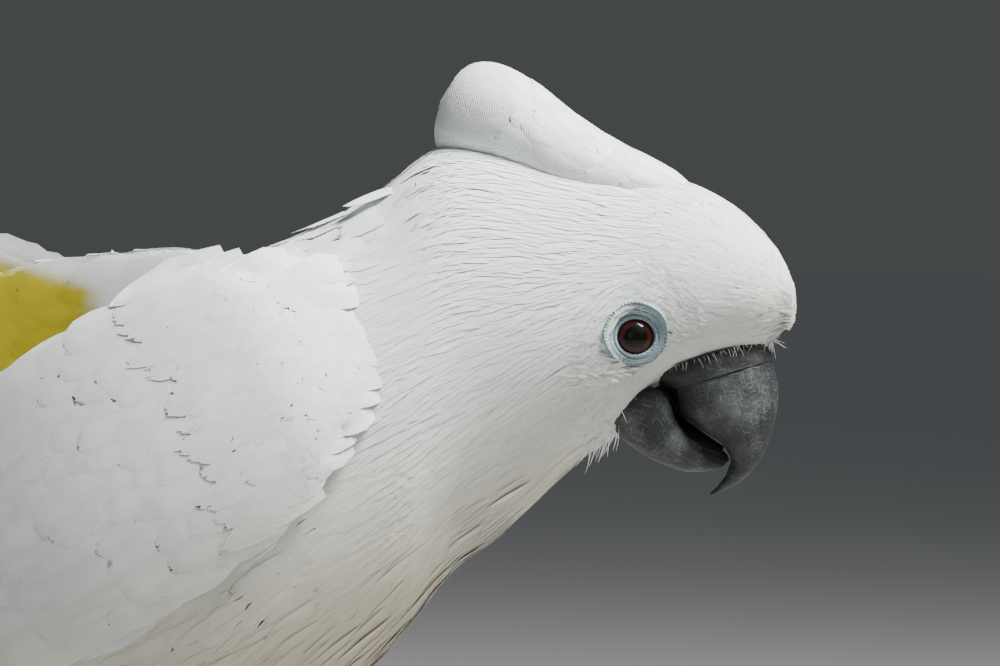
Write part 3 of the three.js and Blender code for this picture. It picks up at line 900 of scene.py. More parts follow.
class Finishes:
    """Every finish of the bird, built once."""

    def __init__(self) -> None:
        """Builds the materials."""
        self.contour = FeatherFinish("white_contour_feather", 1.7, 0.00001).build()
        self.hairlike = FeatherFinish("white_hairlike_feather", 1.2, 0.000005, 0.78).build()
        self.flight = FeatherFinish("white_flight_feather", 1.5, 0.00002, 0.6).build()
        self.skin = SkinFinish("feathered_skin").build()
        self.horn = HornFinish("chalky_horn").build()
        self.cere = HornFinish("dark_cere", chalk=(0.12, 0.13, 0.13), powder=0.18).build()
        self.claw = HornFinish("claw_horn", chalk=(0.10, 0.10, 0.10), powder=0.3).build()
        self.eye_ring = BareSkinFinish(
            "bluish_eye_skin", (0.50, 0.60, 0.62), (0.24, 0.33, 0.36), 1500, 0.00012
        ).build()
        self.foot = BareSkinFinish(
            "scaly_grey_foot", (0.11, 0.115, 0.115), (0.03, 0.032, 0.033), 620, 0.0003
        ).build()
        self.mouth = BareSkinFinish(
            "dark_mouth", (0.02, 0.017, 0.015), (0.008, 0.007, 0.006), 900, 0.0001, 0.4
        ).build()
        self.eye = EyeFinish("dark_eye").build()
        self.floor = FloorFinish().build()


@dataclass
class Maker:
    """What builds pieces of one kind from the bird's finishes."""

    finishes: Finishes


# ---------- plumage ----------


class Hues:
    """The plumage's colours and where each lies."""

    COOL = linear(238, 243, 243)
    CREAM = linear(226, 216, 184)
    # Olive: partly a dull wash of the belly, partly painted shade of the underside.
    OLIVE = linear(142, 132, 94)
    YELLOW = linear(180, 166, 22)
    STRAW = linear(244, 238, 190)

    @classmethod
    def body(cls, spot: Points) -> Values:
        """Cool white above, turning cream and then olive towards the belly and vent: partly the plumage's
        own cream wash, partly painted shade on the underside.
        """
        x, z = spot[..., 0], spot[..., 2]
        line = z - 0.42 * (x - 20)
        warm = np.clip((128 - line) / 55, 0, 1)[..., None]
        # Painted shade: the underside grows darker and more olive towards the belly, where less light falls.
        deep = np.clip((110 - line) / 60, 0, 1)[..., None]
        colour = cls.COOL * (1 - 0.75 * warm) + cls.CREAM * 0.75 * warm
        return colour * (1 - 0.65 * deep) + cls.OLIVE * 0.65 * deep

    @classmethod
    def underwing(cls, spot: Points) -> Values:
        """Yellow wash under the flight feathers, fading to white at the arm."""
        x, z = spot[..., 0], spot[..., 2]
        wash = np.clip((-21 - x) / 5, 0, 1) * np.clip((169 - 0.3 * (x + 43) - z) / 4, 0, 1)
        wash = (wash * np.clip((x + 190) / 90, 0.25, 1))[..., None]
        return cls.COOL * (1 - wash) + cls.YELLOW * wash

    @classmethod
    def crest(cls, spot: Points) -> Values:
        """White with a breath of straw low down, where the inner webs show."""
        straw = np.clip((193 - spot[..., 2]) / 10, 0, 1)[..., None] * 0.3
        return cls.COOL * (1 - straw) + cls.STRAW * straw


@dataclass(frozen=True)
class TuftShape:
    """How one feather or lock is shaped and how finely it is made."""

    stations: int
    across: int
    thickness: float = 0.16
    camber: float = 0.1
    root: float = 0.45
    widest: float = 0.5
    blunt: float = 6.0
    ragged: float = 0.05
    shaft: float = 0.0
    hug: bool = False
    taper: float = 0.5

    def shares(self) -> Values:
        """Places along the feather, closer together towards the tip."""
        return (1 - (1 - np.linspace(0, 1, self.stations)) ** 1.5) * 0.985

    def columns(self) -> Values:
        """Places across the feather, from edge to edge, with the shaft's two sides in a fine one."""
        if self.across == 9:
            return np.array([-1, -0.68, -0.36, -0.06, 0, 0.06, 0.36, 0.68, 1])
        return np.linspace(-1, 1, self.across)

    def widths(self) -> Values:
        """Half widths along the feather, as shares of the widest."""
        share = self.shares()
        swell = np.sin(np.minimum(1, share / self.widest) * math.pi / 2)
        return (self.root + (1 - self.root) * swell) * (1 - share**self.blunt) ** self.taper


# Stations, places across, thickness, camber, root, widest, blunt and ragged, as the class lists them.
LOCK = TuftShape(4, 3, 0.06, 0.03, 0.7, 0.35, 2.0, 0.1, taper=0.7)
SOFT_LOCK = TuftShape(5, 3, 0.07, 0.025, 0.6, 0.4, 2.6, 0.1, taper=0.62)
EDGE_LOCK = TuftShape(6, 5, 0.07, 0.02, 0.6, 0.4, 2.8, 0.03, hug=True, taper=0.6)
BODY_VANE = TuftShape(8, 7, 0.11, 0.03, 0.5, 0.5, 4.4, 0.09)
COVERT_VANE = TuftShape(10, 9, 0.08, 0.02, 0.55, 0.45, 6, 0.015, hug=True)
FLIGHT_VANE = TuftShape(30, 9, 0.5, 0.03, 0.42, 0.5, 8, 0.03, shaft=0.3, hug=True)
CREST_VANE = TuftShape(16, 7, 0.3, 0.05, 0.5, 0.6, 6, 0.012, hug=True)


@dataclass
class Tufts:
    """A batch of tufts on one surface: roots and sizes, one number for each tuft."""

    u: Values
    v: Values
    length: Values | float
    width: Values | float
    rise: Values | float = 0.4
    sink: Values | float = 1.6
    drift: Values | float = 0.0

    def columns(self) -> list[Values]:
        """All the numbers at one length."""
        return spread(self.u, self.v, self.length, self.width, self.rise, self.sink, self.drift)


@dataclass
class Coat:
    """One piece of plumage: closed tufts joined in a single mesh, with its bake map."""

    # A step on the surface's own scales, and the least half width in millimetres.
    STEP = 1e-3
    THINNEST = 0.04
    # How far tufts differ in tone, how much painted shade darkens their roots under the tufts that overlap
    # them, and the lightest tint.
    FRESHNESS = 0.018
    ROOT_SHADE = 0.1
    WHITEST = 0.92
    # The side of a tuft's patch of the bake map.
    PATCH = 0.003

    name: str
    seed: int
    corner: tuple[float, float] = (0.02, 0.02)
    extent: tuple[float, float] = (0.96, 0.96)
    domain: tuple[float, float, float, float] = (0.0, 19.0, -math.pi, math.pi)
    points: list[Points] = field(default_factory=list)
    quads: list[Values] = field(default_factory=list)
    caps: dict[int, list[Values]] = field(default_factory=dict)
    tints: list[Values] = field(default_factory=list)
    barbs: list[Values] = field(default_factory=list)
    rims: list[Values] = field(default_factory=list)
    patches: list[Values] = field(default_factory=list)

    def __post_init__(self) -> None:
        """Starts the coat's own random numbers."""
        self.random = np.random.default_rng(self.seed)

    def lay(self, place: Place, tufts: Tufts, shape: TuftShape, tint: Tint, under: Tint | None = None,
            keep: Callable[[Points], Values] | None = None) -> None:
        """Adds tufts that lie along a surface.

        Args:
            place: The surface, by place along the lie, place across it and distance out.
            tufts: The tufts' roots and sizes.
            shape: Their common shape.
            tint: The colour of the outer face at points.
            under: The colour of the inner face, where it is another.
            keep: Tells which tufts stay, from their centre lines.
        """
        u, v, length, width, rise, sink, drift = tufts.columns()
        share = shape.shares()
        along, beside = self._centre_line(place, u, v, length, drift, share)
        height = rise[:, None] * share - sink[:, None] * np.maximum(0, 1 - share / 0.4) ** 1.5
        centre = place(along, beside, height)
        stays = np.linalg.norm(centre[:, -1] - centre[:, 0], axis=1) < 1.25 * length + 1
        if keep is not None:
            stays &= keep(centre)
        if not stays.all():
            along, beside, height, centre = along[stays], beside[stays], height[stays], centre[stays]
            u, v, length, width = u[stays], v[stays], length[stays], width[stays]
        count = len(u)
        if not count:
            return
        ahead = unit(np.gradient(centre, axis=1))
        outward = place(along, beside, height + 1) - centre
        outward = unit(outward - ahead * (outward * ahead).sum(-1, keepdims=True))
        side = np.cross(outward, ahead)
        column = shape.columns()
        uneven = 1 + shape.ragged * self.random.normal(size=(count, shape.stations))
        half = np.maximum(0.5 * width[:, None] * shape.widths() * uneven, self.THINNEST)
        across = half[:, :, None] * column
        lift = (shape.camber * half[:, :, None]) * (1 - column**2)
        if shape.shaft:
            lift = lift + shape.shaft * (1 - 0.8 * share)[None, :, None] * (np.abs(column) < 0.01)
        thick = 0.5 * shape.thickness * (1 - 0.75 * column**2) * np.minimum(1, 4 * (1.02 - share))[:, None]
        if shape.hug:
            reach = self._across_scale(place, along, beside)
            reach = np.maximum(reach, 0.45 * reach.max(1, keepdims=True))[:, :, None]
            aside = beside[:, :, None] + across / reach
            middle = place(along[:, :, None] + 0 * across, aside, height[:, :, None] + lift)
        else:
            middle = centre[:, :, None] + side[:, :, None] * across[..., None]
            middle = middle + outward[:, :, None] * lift[..., None]
        fray = self.random.normal(size=(count, 1, shape.across)) * shape.ragged * share[None, :, None] ** 8
        middle = middle + ahead[:, :, None] * (fray * length[:, None, None])[..., None]
        top = middle + outward[:, :, None] * thick[..., None]
        bottom = middle - outward[:, :, None] * thick[..., None]
        ring = np.concatenate([top, bottom[:, :, -2:0:-1]], axis=2)
        self._keep_faces(count, shape)
        self.points.append(ring.reshape(-1, 3))
        self._keep_looks(tint(top), (under or tint)(bottom), share)
        barb = share[None, :, None] * length[:, None, None] + 0.9 * np.abs(column) * half[:, :, None]
        self.barbs.append(np.concatenate([barb, barb[:, :, -2:0:-1]], axis=2).reshape(-1))
        self._keep_patches(u, v, share, column)

    def _across_scale(self, place: Place, along: Values, beside: Values) -> Values:
        """Millimetres for each step across, at places on a surface."""
        flat, step = 0 * along, self.STEP
        wide = place(along, beside + step, flat) - place(along, beside - step, flat)
        return np.linalg.norm(wide, axis=-1) / (2 * step)

    def _centre_line(self, place: Place, u: Values, v: Values, length: Values,
                     drift: Values, share: Values) -> tuple[Values, Values]:
        """Walks each tuft's length along the surface and gives the places of its stations."""
        along, beside, least = [u], [v], None
        step = self.STEP
        for near, far in zip(share[:-1], share[1:]):
            a, b, flat = along[-1], beside[-1], 0 * u
            run = np.linalg.norm(place(a + step, b, flat) - place(a - step, b, flat), axis=-1) / (2 * step)
            wide = self._across_scale(place, a, b)
            least = least or (np.maximum(0.5 * run, 0.05), np.maximum(0.4 * wide, 0.05))
            move = (far - near) * length
            along.append(a + move * np.cos(drift) / np.maximum(run, least[0]))
            beside.append(b + move * np.sin(drift) / np.maximum(wide, least[1]))
        return np.stack(along, 1), np.stack(beside, 1)

    def _keep_faces(self, count: int, shape: TuftShape) -> None:
        """Keeps the faces of tufts that share one shape."""
        ring = 2 * shape.across - 2
        size = shape.stations * ring
        first = sum(len(p) for p in self.points)
        k, j = np.meshgrid(np.arange(shape.stations - 1), np.arange(ring), indexing="ij")
        nxt = (j + 1) % ring
        quad = np.stack([k * ring + j, (k + 1) * ring + j, (k + 1) * ring + nxt, k * ring + nxt], -1)
        start = first + size * np.arange(count)
        self.quads.append((start[:, None, None] + quad.reshape(-1, 4)).reshape(-1, 4))
        rim = np.isin(np.arange(ring), (0, shape.across - 1)).astype(np.int8)
        end = np.zeros(shape.stations, np.int8)
        end[0], end[-1] = 2, 4
        self.rims.append(np.tile((rim[None, :] | end[:, None]).ravel(), count))
        ends = np.stack([np.arange(ring), size - 1 - np.arange(ring)])
        self.caps.setdefault(ring, []).append((start[:, None, None] + ends).reshape(-1, ring))

    def _keep_looks(self, upper: Values, lower: Values, share: Values) -> None:
        """Keeps each point's colour: each tuft a little lighter or darker, and darker at its root with
        painted shade.
        """
        fresh = 1 + self.FRESHNESS * self.random.normal(size=(len(upper), 1, 1, 1))
        # Painted shade: each tuft darkens towards its covered root.
        root_shadow = (1 - self.ROOT_SHADE * (1 - share) ** 2)[None, :, None, None]
        colour = np.concatenate([upper * fresh * root_shadow, (lower * fresh * root_shadow)[:, :, -2:0:-1]], axis=2)
        self.tints.append(np.clip(colour, 0, self.WHITEST).reshape(-1, 3))

    def _keep_patches(self, u: Values, v: Values, share: Values, column: Values) -> None:
        """Keeps each tuft's small patch of the bake map, at its root's place on the surface laid flat."""
        low_u, high_u, low_v, high_v = self.domain
        at_u = np.clip((u - low_u) / (high_u - low_u), 0, 1)
        at_v = ((v - low_v) / (high_v - low_v)) % 1.0
        spot = np.array(self.corner) + np.array(self.extent) * np.stack([at_u, at_v], -1)
        wide = np.concatenate([column, column[-2:0:-1]])
        patch = np.stack(np.broadcast_arrays(share[:, None] - 0.5, 0.5 * wide[None, :]), -1) * self.PATCH
        self.patches.append((spot[:, None, None] + patch).reshape(-1, 2))

    def build(self, material: Material, slot: str, *nodes: str) -> None:
        """Makes the piece and gives it to the frame.

        Args:
            material: Its finish.
            slot: The record's slot of that finish.
            nodes: The solids that it replaces.
        """
        points = place_in_frame(np.vstack(self.points))
        quads = np.vstack(self.quads)
        loops, sizes = [quads.ravel()], [np.full(len(quads), 4)]
        for ring, ends in self.caps.items():
            caps = np.vstack(ends)
            loops.append(caps.ravel())
            sizes.append(np.full(len(caps), ring))
        corner, size = np.concatenate(loops), np.concatenate(sizes)
        mesh = bpy.data.meshes.new(self.name)
        mesh.vertices.add(len(points))
        mesh.vertices.foreach_set("co", points.ravel())
        mesh.loops.add(len(corner))
        mesh.loops.foreach_set("vertex_index", corner.astype(np.int32))
        mesh.polygons.add(len(size))
        first = np.cumsum(size) - size
        mesh.polygons.foreach_set("loop_start", first.astype(np.int32))
        mesh.update(calc_edges=True)
        mesh.polygons.foreach_set("use_smooth", np.ones(len(size), bool))
        self._part_faces(mesh)
        chart = mesh.uv_layers.new(name="OFBake")
        chart.data.foreach_set("uv", np.vstack(self.patches)[corner].astype(np.float32).ravel())
        piece = add_object(self.name, mesh)
        paint(piece, np.vstack(self.tints))
        note(piece, "barb", np.concatenate(self.barbs))
        turn_outward(piece)
        dress(piece, material, slot, *nodes)

    def _part_faces(self, mesh: bpy.types.Mesh) -> None:
        """Marks rims and ends as sharp, so that each tuft is shaded as flat as the coat it lies in."""
        ends = np.zeros(len(mesh.edges) * 2, np.int32)
        mesh.edges.foreach_get("vertices", ends)
        first, second = np.concatenate(self.rims)[ends.reshape(-1, 2)].T
        sharp = mesh.attributes.new("sharp_edge", "BOOLEAN", "EDGE")
        sharp.data.foreach_set("value", (first & second) > 0)


def lattice(place: Place, start: float, end: float, pitch: Callable[[float], tuple[float, float]],
            random: np.random.Generator, jitter: float = 0.3) -> tuple[Values, Values]:
    """Roots in staggered rings over a form.

    Args:
        place: The form's surface.
        start: The first ring's place along.
        end: Where the rings stop.
        pitch: Gaps along and across, in millimetres, at a place along.
        random: Random numbers for the jitter.
        jitter: How far roots stray, as a share of the gap.

    Returns:
        The roots' places along and angles round.
    """
    angles = np.linspace(-math.pi, math.pi, 65)
    flat = 0 * angles
    along, round_ = [], []
    at, ring, step = start, 0, 0.01
    while at < end:
        gap, wide = pitch(at)
        loop = place(flat + at, angles, flat)
        far = run_along(loop)
        count = max(6, int(far[-1] / wide))
        order = np.arange(count) + 0.5 * (ring % 2) + jitter * random.uniform(-1, 1, count)
        angle = np.interp(order / count * far[-1] % far[-1], far, angles)
        ahead = place(flat + (at + step), angles, flat)
        run = np.linalg.norm(ahead - loop, axis=1).mean() / step
        along.append(at + jitter * random.uniform(-1, 1, count) * gap / run)
        round_.append(angle)
        at += gap / run
        ring += 1
    return np.concatenate(along), np.concatenate(round_)


@dataclass(frozen=True)
class EyeSpot:
    """Where one eye sits in the straight bird and which way it looks."""

    side: Side
    middle: tuple[float, float, float] = (110.0, 16.6, 151.6)
    ball: float = 6.4
    # How far from the line of sight plumage has to stay, and the distance given to the other side.
    CLEAR = 6.95
    FAR_SIDE = 99.0

    def axes(self) -> tuple[Points, Points, Points, Points]:
        """The middle, the direction of sight and two directions square to it."""
        centre = np.array([self.middle[0], self.side.value * self.middle[1], self.middle[2]])
        sight = unit(np.array([0.22, self.side.value, 0.03]))
        right = unit(np.cross(sight, [0, 0, 1.0]))
        return centre, sight, right, np.cross(right, sight)

    def point(self, radius: Values, angle: Values, high: Values) -> Points:
        """Points at a radius and angle round the line of sight, and a height along it."""
        radius, angle, high = spread(radius, angle, high)
        centre, sight, right, up = self.axes()
        spot = centre + sight * high[..., None] + right * (radius * np.cos(angle))[..., None]
        return TURN.apply(spot + up * (radius * np.sin(angle))[..., None])

    def distance(self, spots: Points) -> Values:
        """How far points of this side lie from the line of sight; points of the other side are far."""
        centre, sight, _, _ = self.axes()
        eye = TURN.apply(centre[None])[0]
        cos, sin = math.cos(TURN.angle), math.sin(TURN.angle)
        look = np.array([cos * sight[0] + sin * sight[1], -sin * sight[0] + cos * sight[1], sight[2]])
        away = spots - eye
        ahead = away @ look
        off = np.linalg.norm(away - ahead[..., None] * look, axis=-1)
        return np.where(ahead > 0, off, self.FAR_SIDE)


EYES = (EyeSpot(Side.RIGHT), EyeSpot(Side.LEFT))


def clear_of_eyes(centre: Points) -> Values:
    """Tells which tufts keep off the bare rings round the eyes."""
    return np.all([eye.distance(centre).min(1) > eye.CLEAR for eye in EYES], axis=0)


@dataclass(frozen=True)
class Leg:
    """One leg's places, for the left side; the right one mirrors them."""

    side: Side
    hip: tuple[float, float, float] = (4, 18, 68)
    knee: tuple[float, float, float] = (5, 24, 50)
    ankle: tuple[float, float, float] = (-15, 26, 27)
    foot: tuple[float, float, float] = (1, 27, 6.5)
    pad: float = 3.0
    sole: float = 1.2

    def mirrored(self, spot: tuple[float, float, float]) -> tuple[float, float, float]:
        """A place on this leg's own side."""
        return spot[0], self.side.value * spot[1], spot[2]

    def thigh(self) -> Limb:
        """The feathered thigh."""
        narrow = lambda share: 18 + (7 - 18) * np.clip(share, 0, 1) ** 1.3
        spine = tuple(self.mirrored(spot) for spot in (self.hip, self.knee, self.ankle))
        return Limb(spine, lambda share: 0.8 * narrow(share), narrow)

    def shank(self) -> Limb:
        """The bare shank."""
        ankle, foot = np.array(self.mirrored(self.ankle)), np.array(self.mirrored(self.foot))
        stout = lambda share: 4.4 * (1 + 0.15 * share)
        spine = tuple(tuple(ankle + (foot - ankle) * at) for at in (-0.18, 0.4, 1.0))
        return Limb(spine, stout, stout, 0.6)

    def _toe_places(self, angle: float) -> tuple[Values, Values]:
        """Where a toe starts on the floor and which way it points."""
        heading = math.radians(angle) * self.side.value
        ahead = np.array([math.cos(heading), math.sin(heading), 0])
        foot = self.mirrored(self.foot)
        return np.array([foot[0], foot[1], 0]) + ahead, ahead

    def toe(self, angle: float, length: float, wide: float) -> Limb:
        """One toe with its pads, flat below."""
        start, ahead = self._toe_places(angle)
        spot = lambda far, high: tuple(start + ahead * far + np.array([0, 0, high]))
        pads = lambda share: (1 - 0.2 * share) * (1 + 0.08 * np.cos(share * math.pi * 4))
        spine = (spot(0, self.pad + 0.6), spot(0.5 * length, self.pad), spot(length, self.pad - 0.4))
        tall = self.pad + self.sole
        return Limb(spine, lambda share: wide * pads(share), lambda share: tall * pads(share), 0.0)

    def claw(self, angle: float, length: float) -> Limb:
        """One curved claw."""
        start, ahead = self._toe_places(angle)
        far = lambda share: 0.95 * length + share * 12.5
        spot = lambda share, high: tuple(start + ahead * far(share) + np.array([0, 0, high]))
        spine = (spot(0, self.pad - 0.1), spot(0.45, self.pad + 0.6), spot(0.8, self.pad - 1), spot(1, 0.5))
        taper = lambda share: 2.1 * (1 - 0.86 * share)
        return Limb(spine, taper, taper, 0.05)


TOES = {
    "inner_front": (-14, 25, 4.1),
    "outer_front": (19, 34, 4.3),
    "outer_back": (150, 29, 4.2),
    "inner_back": (-158, 19, 4),
}
LEGS = (Leg(Side.RIGHT), Leg(Side.LEFT))


@dataclass
class Skin:
    """One unbroken skin over head, neck, trunk, rump, thighs and the arms of the wings."""

    voxel: float = 0.0013
    eased: int = 8
    # How deep it lies under the coat, from the rump at -60 to the face at 125.
    places: tuple[float, ...] = (-60, 40, 95, 125)
    depths: tuple[float, ...] = (0.9, 0.85, 0.55, 0.4)
    # The eye sockets' radius, the width of their slope and how much deeper they are.
    socket: tuple[float, float, float] = (9, 2.5, 1.6)

    def build(self, material: Material) -> None:
        """Joins the forms, melts them into one and lays the skin in by the coat's depth."""
        forms = [loft("skin", head_point, -0.9, BODY.last, 150, 72)]
        for leg in LEGS:
            forms.append(loft("thigh_form", leg.thigh().point, 0.0, 1.0, 30, 28))
        for wing in (RIGHT_WING, LEFT_WING):
            forms.append(loft("arm_form", wing.mass, 0.03, 0.97, 44, 44, -0.8))
        skin = self._join(forms)
        remesh = skin.modifiers.new("melt", "REMESH")
        remesh.mode = "VOXEL"
        remesh.voxel_size = self.voxel
        remesh.use_smooth_shade = True
        smooth = skin.modifiers.new("ease", "SMOOTH")
        smooth.factor = 0.5
        smooth.iterations = self.eased
        apply_modifiers(skin)
        self._lay_in(skin)
        paint(skin, Hues.body(vertex_array(skin)))
        flesh = ["head", "neck", "trunk", "rump"]
        for side in Side:
            flesh += [f"leg_{side.word}_thigh", f"wing_{side.word}_coverts"]
        dress(skin, material, "plumage", *flesh)

    def _join(self, forms: list[Piece]) -> Piece:
        """Joins closed forms in one object."""
        points, faces, first = [], [], 0
        for form in forms:
            spots = vertex_array(form)
            points.append(spots)
            faces += [[first + index for index in face.vertices] for face in form.data.polygons]
            first += len(spots)
            bpy.data.objects.remove(form)
        return make_object("skin", np.vstack(points), faces)

    def _lay_in(self, skin: Piece) -> None:
        """Moves the skin in: little on the face, more on the body, and most in the eye sockets."""
        spots = vertex_array(skin)
        depth = np.interp(spots[:, 0], self.places, self.depths)
        radius, slope, deeper = self.socket
        for eye in EYES:
            near = eye.distance(spots)
            depth = np.where(near < radius, depth + np.clip((radius - near) / slope, 0, 1) * deeper, depth)
        set_vertices(skin, spots - vertex_values(skin, "normal") * depth[:, None])


class BodyPlumage(Maker):
    """Contour feathers of head, neck and body, in pieces from the face to the tail coverts."""

    # How far from the eyes the short locks are laid that pass the bare rings.
    ROUND_EYES = (6.9, 17)
    # Row of the body: gap along, gap across, length, width, rise.
    LOCKS = np.array([
        (-1.0, 0.9, 0.8, 3.6, 1.6, 0.1),
        (0.0, 1.1, 0.85, 5.5, 1.9, 0.1),
        (1.5, 1.3, 0.95, 8.0, 2.1, 0.11),
        (3.0, 1.7, 1.1, 11.5, 2.5, 0.12),
        (4.4, 2.0, 1.35, 15.0, 3.6, 0.12),
        (6.0, 2.5, 1.7, 18.0, 4.8, 0.12),
        (8.0, 3.1, 2.1, 21.0, 6.2, 0.13),
        (12.0, 3.9, 2.7, 24.0, 8.0, 0.16),
        (15.0, 4.2, 2.7, 24.0, 7.4, 0.18),
        (19.0, 4.4, 2.4, 23.0, 6.0, 0.18),
    ])
    VANES = np.array([
        (6.4, 5.0, 4.6, 18, 9, 0.4),
        (8.0, 5.6, 5.0, 21, 10.5, 0.45),
        (10.0, 6.8, 6.0, 26, 13, 0.5),
        (12.5, 7.4, 6.6, 29, 15, 0.55),
        (14.5, 7.2, 6.2, 29, 14.5, 0.55),
        (16.5, 6.6, 5.4, 30, 13, 0.5),
        (18.0, 6.6, 4.6, 32, 12, 0.45),
    ])

    def build(self) -> None:
        """Builds every piece."""
        self._locks("coat_face", 11, -0.96, 2.2)
        self._locks("coat_head", 12, 2.2, 4.4)
        self._locks("coat_cheeks", 13, 4.4, 6.4)
        self._locks("coat_neck", 21, 6.4, 9.0)
        self._locks("coat_breast", 22, 9.0, 11.8)
        self._locks("coat_belly", 23, 11.8, 14.8)
        self._locks("coat_rump", 24, 14.8, 18.4)
        self._vanes("coat_mantle", 25, 7.6, 18.2)

    def _locks(self, name: str, seed: int, start: float, end: float) -> None:
        """Fine soft locks between two rows."""
        coat = Coat(name, seed)
        at = lambda u, i: np.interp(u, self.LOCKS[:, 0], self.LOCKS[:, i])
        gaps = lambda row: (float(at(row, 1)), float(at(row, 2)))
        u, v = lattice(head_point, start, end, gaps, coat.random, 0.5)
        stray = coat.random.normal(size=(3, len(u)))
        loose = np.clip((np.abs(v) - 1.9) / 0.8, 0, 1) * np.clip((u - 8) / 3, 0, 1)
        tufts = Tufts(
            u, v, at(u, 3) * (1 + 0.15 * stray[0]), at(u, 4) * (1 + 0.12 * stray[1]),
            at(u, 5) * (1 + 0.3 * np.abs(stray[2]) + 1.2 * loose), np.interp(u, [0, 6, 9], [0.3, 0.6, 0.8]),
            (0.1 + 0.08 * loose) * stray[1] + self._swirl(u, v),
        )
        shape = LOCK if start < 4 else SOFT_LOCK
        coat.lay(head_point, tufts, shape, Hues.body, keep=clear_of_eyes)
        if end <= 4.4:
            self._round_the_eyes(coat, tufts, shape)
        coat.build(self.finishes.hairlike, "plumage")

    def _round_the_eyes(self, coat: Coat, tufts: Tufts, shape: TuftShape) -> None:
        """Lays short locks near the eyes again, bent to either side so that they pass the bare rings."""
        u, v, length, width, rise, sink, drift = tufts.columns()
        spots = head_point(u, v, 0 * u)[:, None]
        near = np.min([eye.distance(spots)[:, 0] for eye in EYES], axis=0)
        close = (near > self.ROUND_EYES[0]) & (near < self.ROUND_EYES[1])
        for bend in (-0.75, 0.75):
            bent = Tufts(
                u[close], v[close], 0.55 * length[close], width[close],
                rise[close], 0.7 * sink[close], drift[close] + bend,
            )
            coat.lay(head_point, bent, shape, Hues.body, keep=clear_of_eyes)

    def _swirl(self, u: Values, v: Values) -> Values:
        """How the ear coverts sweep down and back behind the eye."""
        near = np.exp(-(((u - 4.8) / 1.4) ** 2) - ((np.abs(v) - 1.75) / 0.55) ** 2)
        return 0.35 * near * np.sign(v)

    def _vanes(self, name: str, seed: int, start: float, end: float) -> None:
        """Broader feathers of the mantle and back, from side to side over the top."""
        coat = Coat(name, seed)
        at = lambda u, i: np.interp(u, self.VANES[:, 0], self.VANES[:, i])
        gaps = lambda row: (float(at(row, 1)), float(at(row, 2)))
        u, v = lattice(BODY.point, start, end, gaps, coat.random, 0.32)
        stays = np.abs(v) < np.interp(u, [7.6, 9, 12, 16, 18], [0.5, 1.1, 1.7, 1.9, 1.6])
        u, v = u[stays], v[stays]
        stray = coat.random.normal(size=(3, len(u)))
        tufts = Tufts(
            u, v, at(u, 3) * (1 + 0.1 * stray[0]), at(u, 4) * (1 + 0.08 * stray[1]),
            at(u, 5) + 0.08 * stray[2], 1.4, 0.08 * stray[1],
        )
        coat.lay(BODY.point, tufts, BODY_VANE, Hues.body)
        raised = Tufts(
            u=[7.6, 8.2, 8.9], v=[-0.28, -0.1, -0.42], length=[15, 17, 16], width=[6.5, 8, 8],
            rise=[3.4, 1.6, 1.8], sink=1.5,
        )
        coat.lay(BODY.point, raised, BODY_VANE, Hues.body)
        coat.build(self.finishes.contour, "plumage")


class ThighPlumage(Maker):
    """Loose feathers of the thighs, down to the ankle."""

    def build(self) -> None:
        """Builds both thighs' coats in one piece."""
        coat = Coat("coat_thighs", 31, domain=(0, 1, -math.pi, math.pi))
        for leg in LEGS:
            thigh = leg.thigh()
            u, v = lattice(thigh.point, 0.05, 0.93, lambda share: (2.6, 2.1), coat.random, 0.4)
            stray = coat.random.normal(size=len(u))
            length = np.interp(u, [0, 0.6, 1], [15, 11, 7]) * (1 + 0.1 * stray)
            width = np.interp(u, [0, 1], [4.8, 2.8])
            tufts = Tufts(u, v, length, width, 0.4 + 0.1 * np.abs(stray), 1.6, 0.1 * stray)
            coat.lay(thigh.point, tufts, SOFT_LOCK, Hues.body)
        coat.build(self.finishes.contour, "plumage")


@dataclass(frozen=True)
class CovertBand:
    """A band of wing coverts: where it runs along the wing and how its feathers measure."""

    start: float
    end: float
    gap: float
    pitch: float
    length: float
    width: float
    rise: float


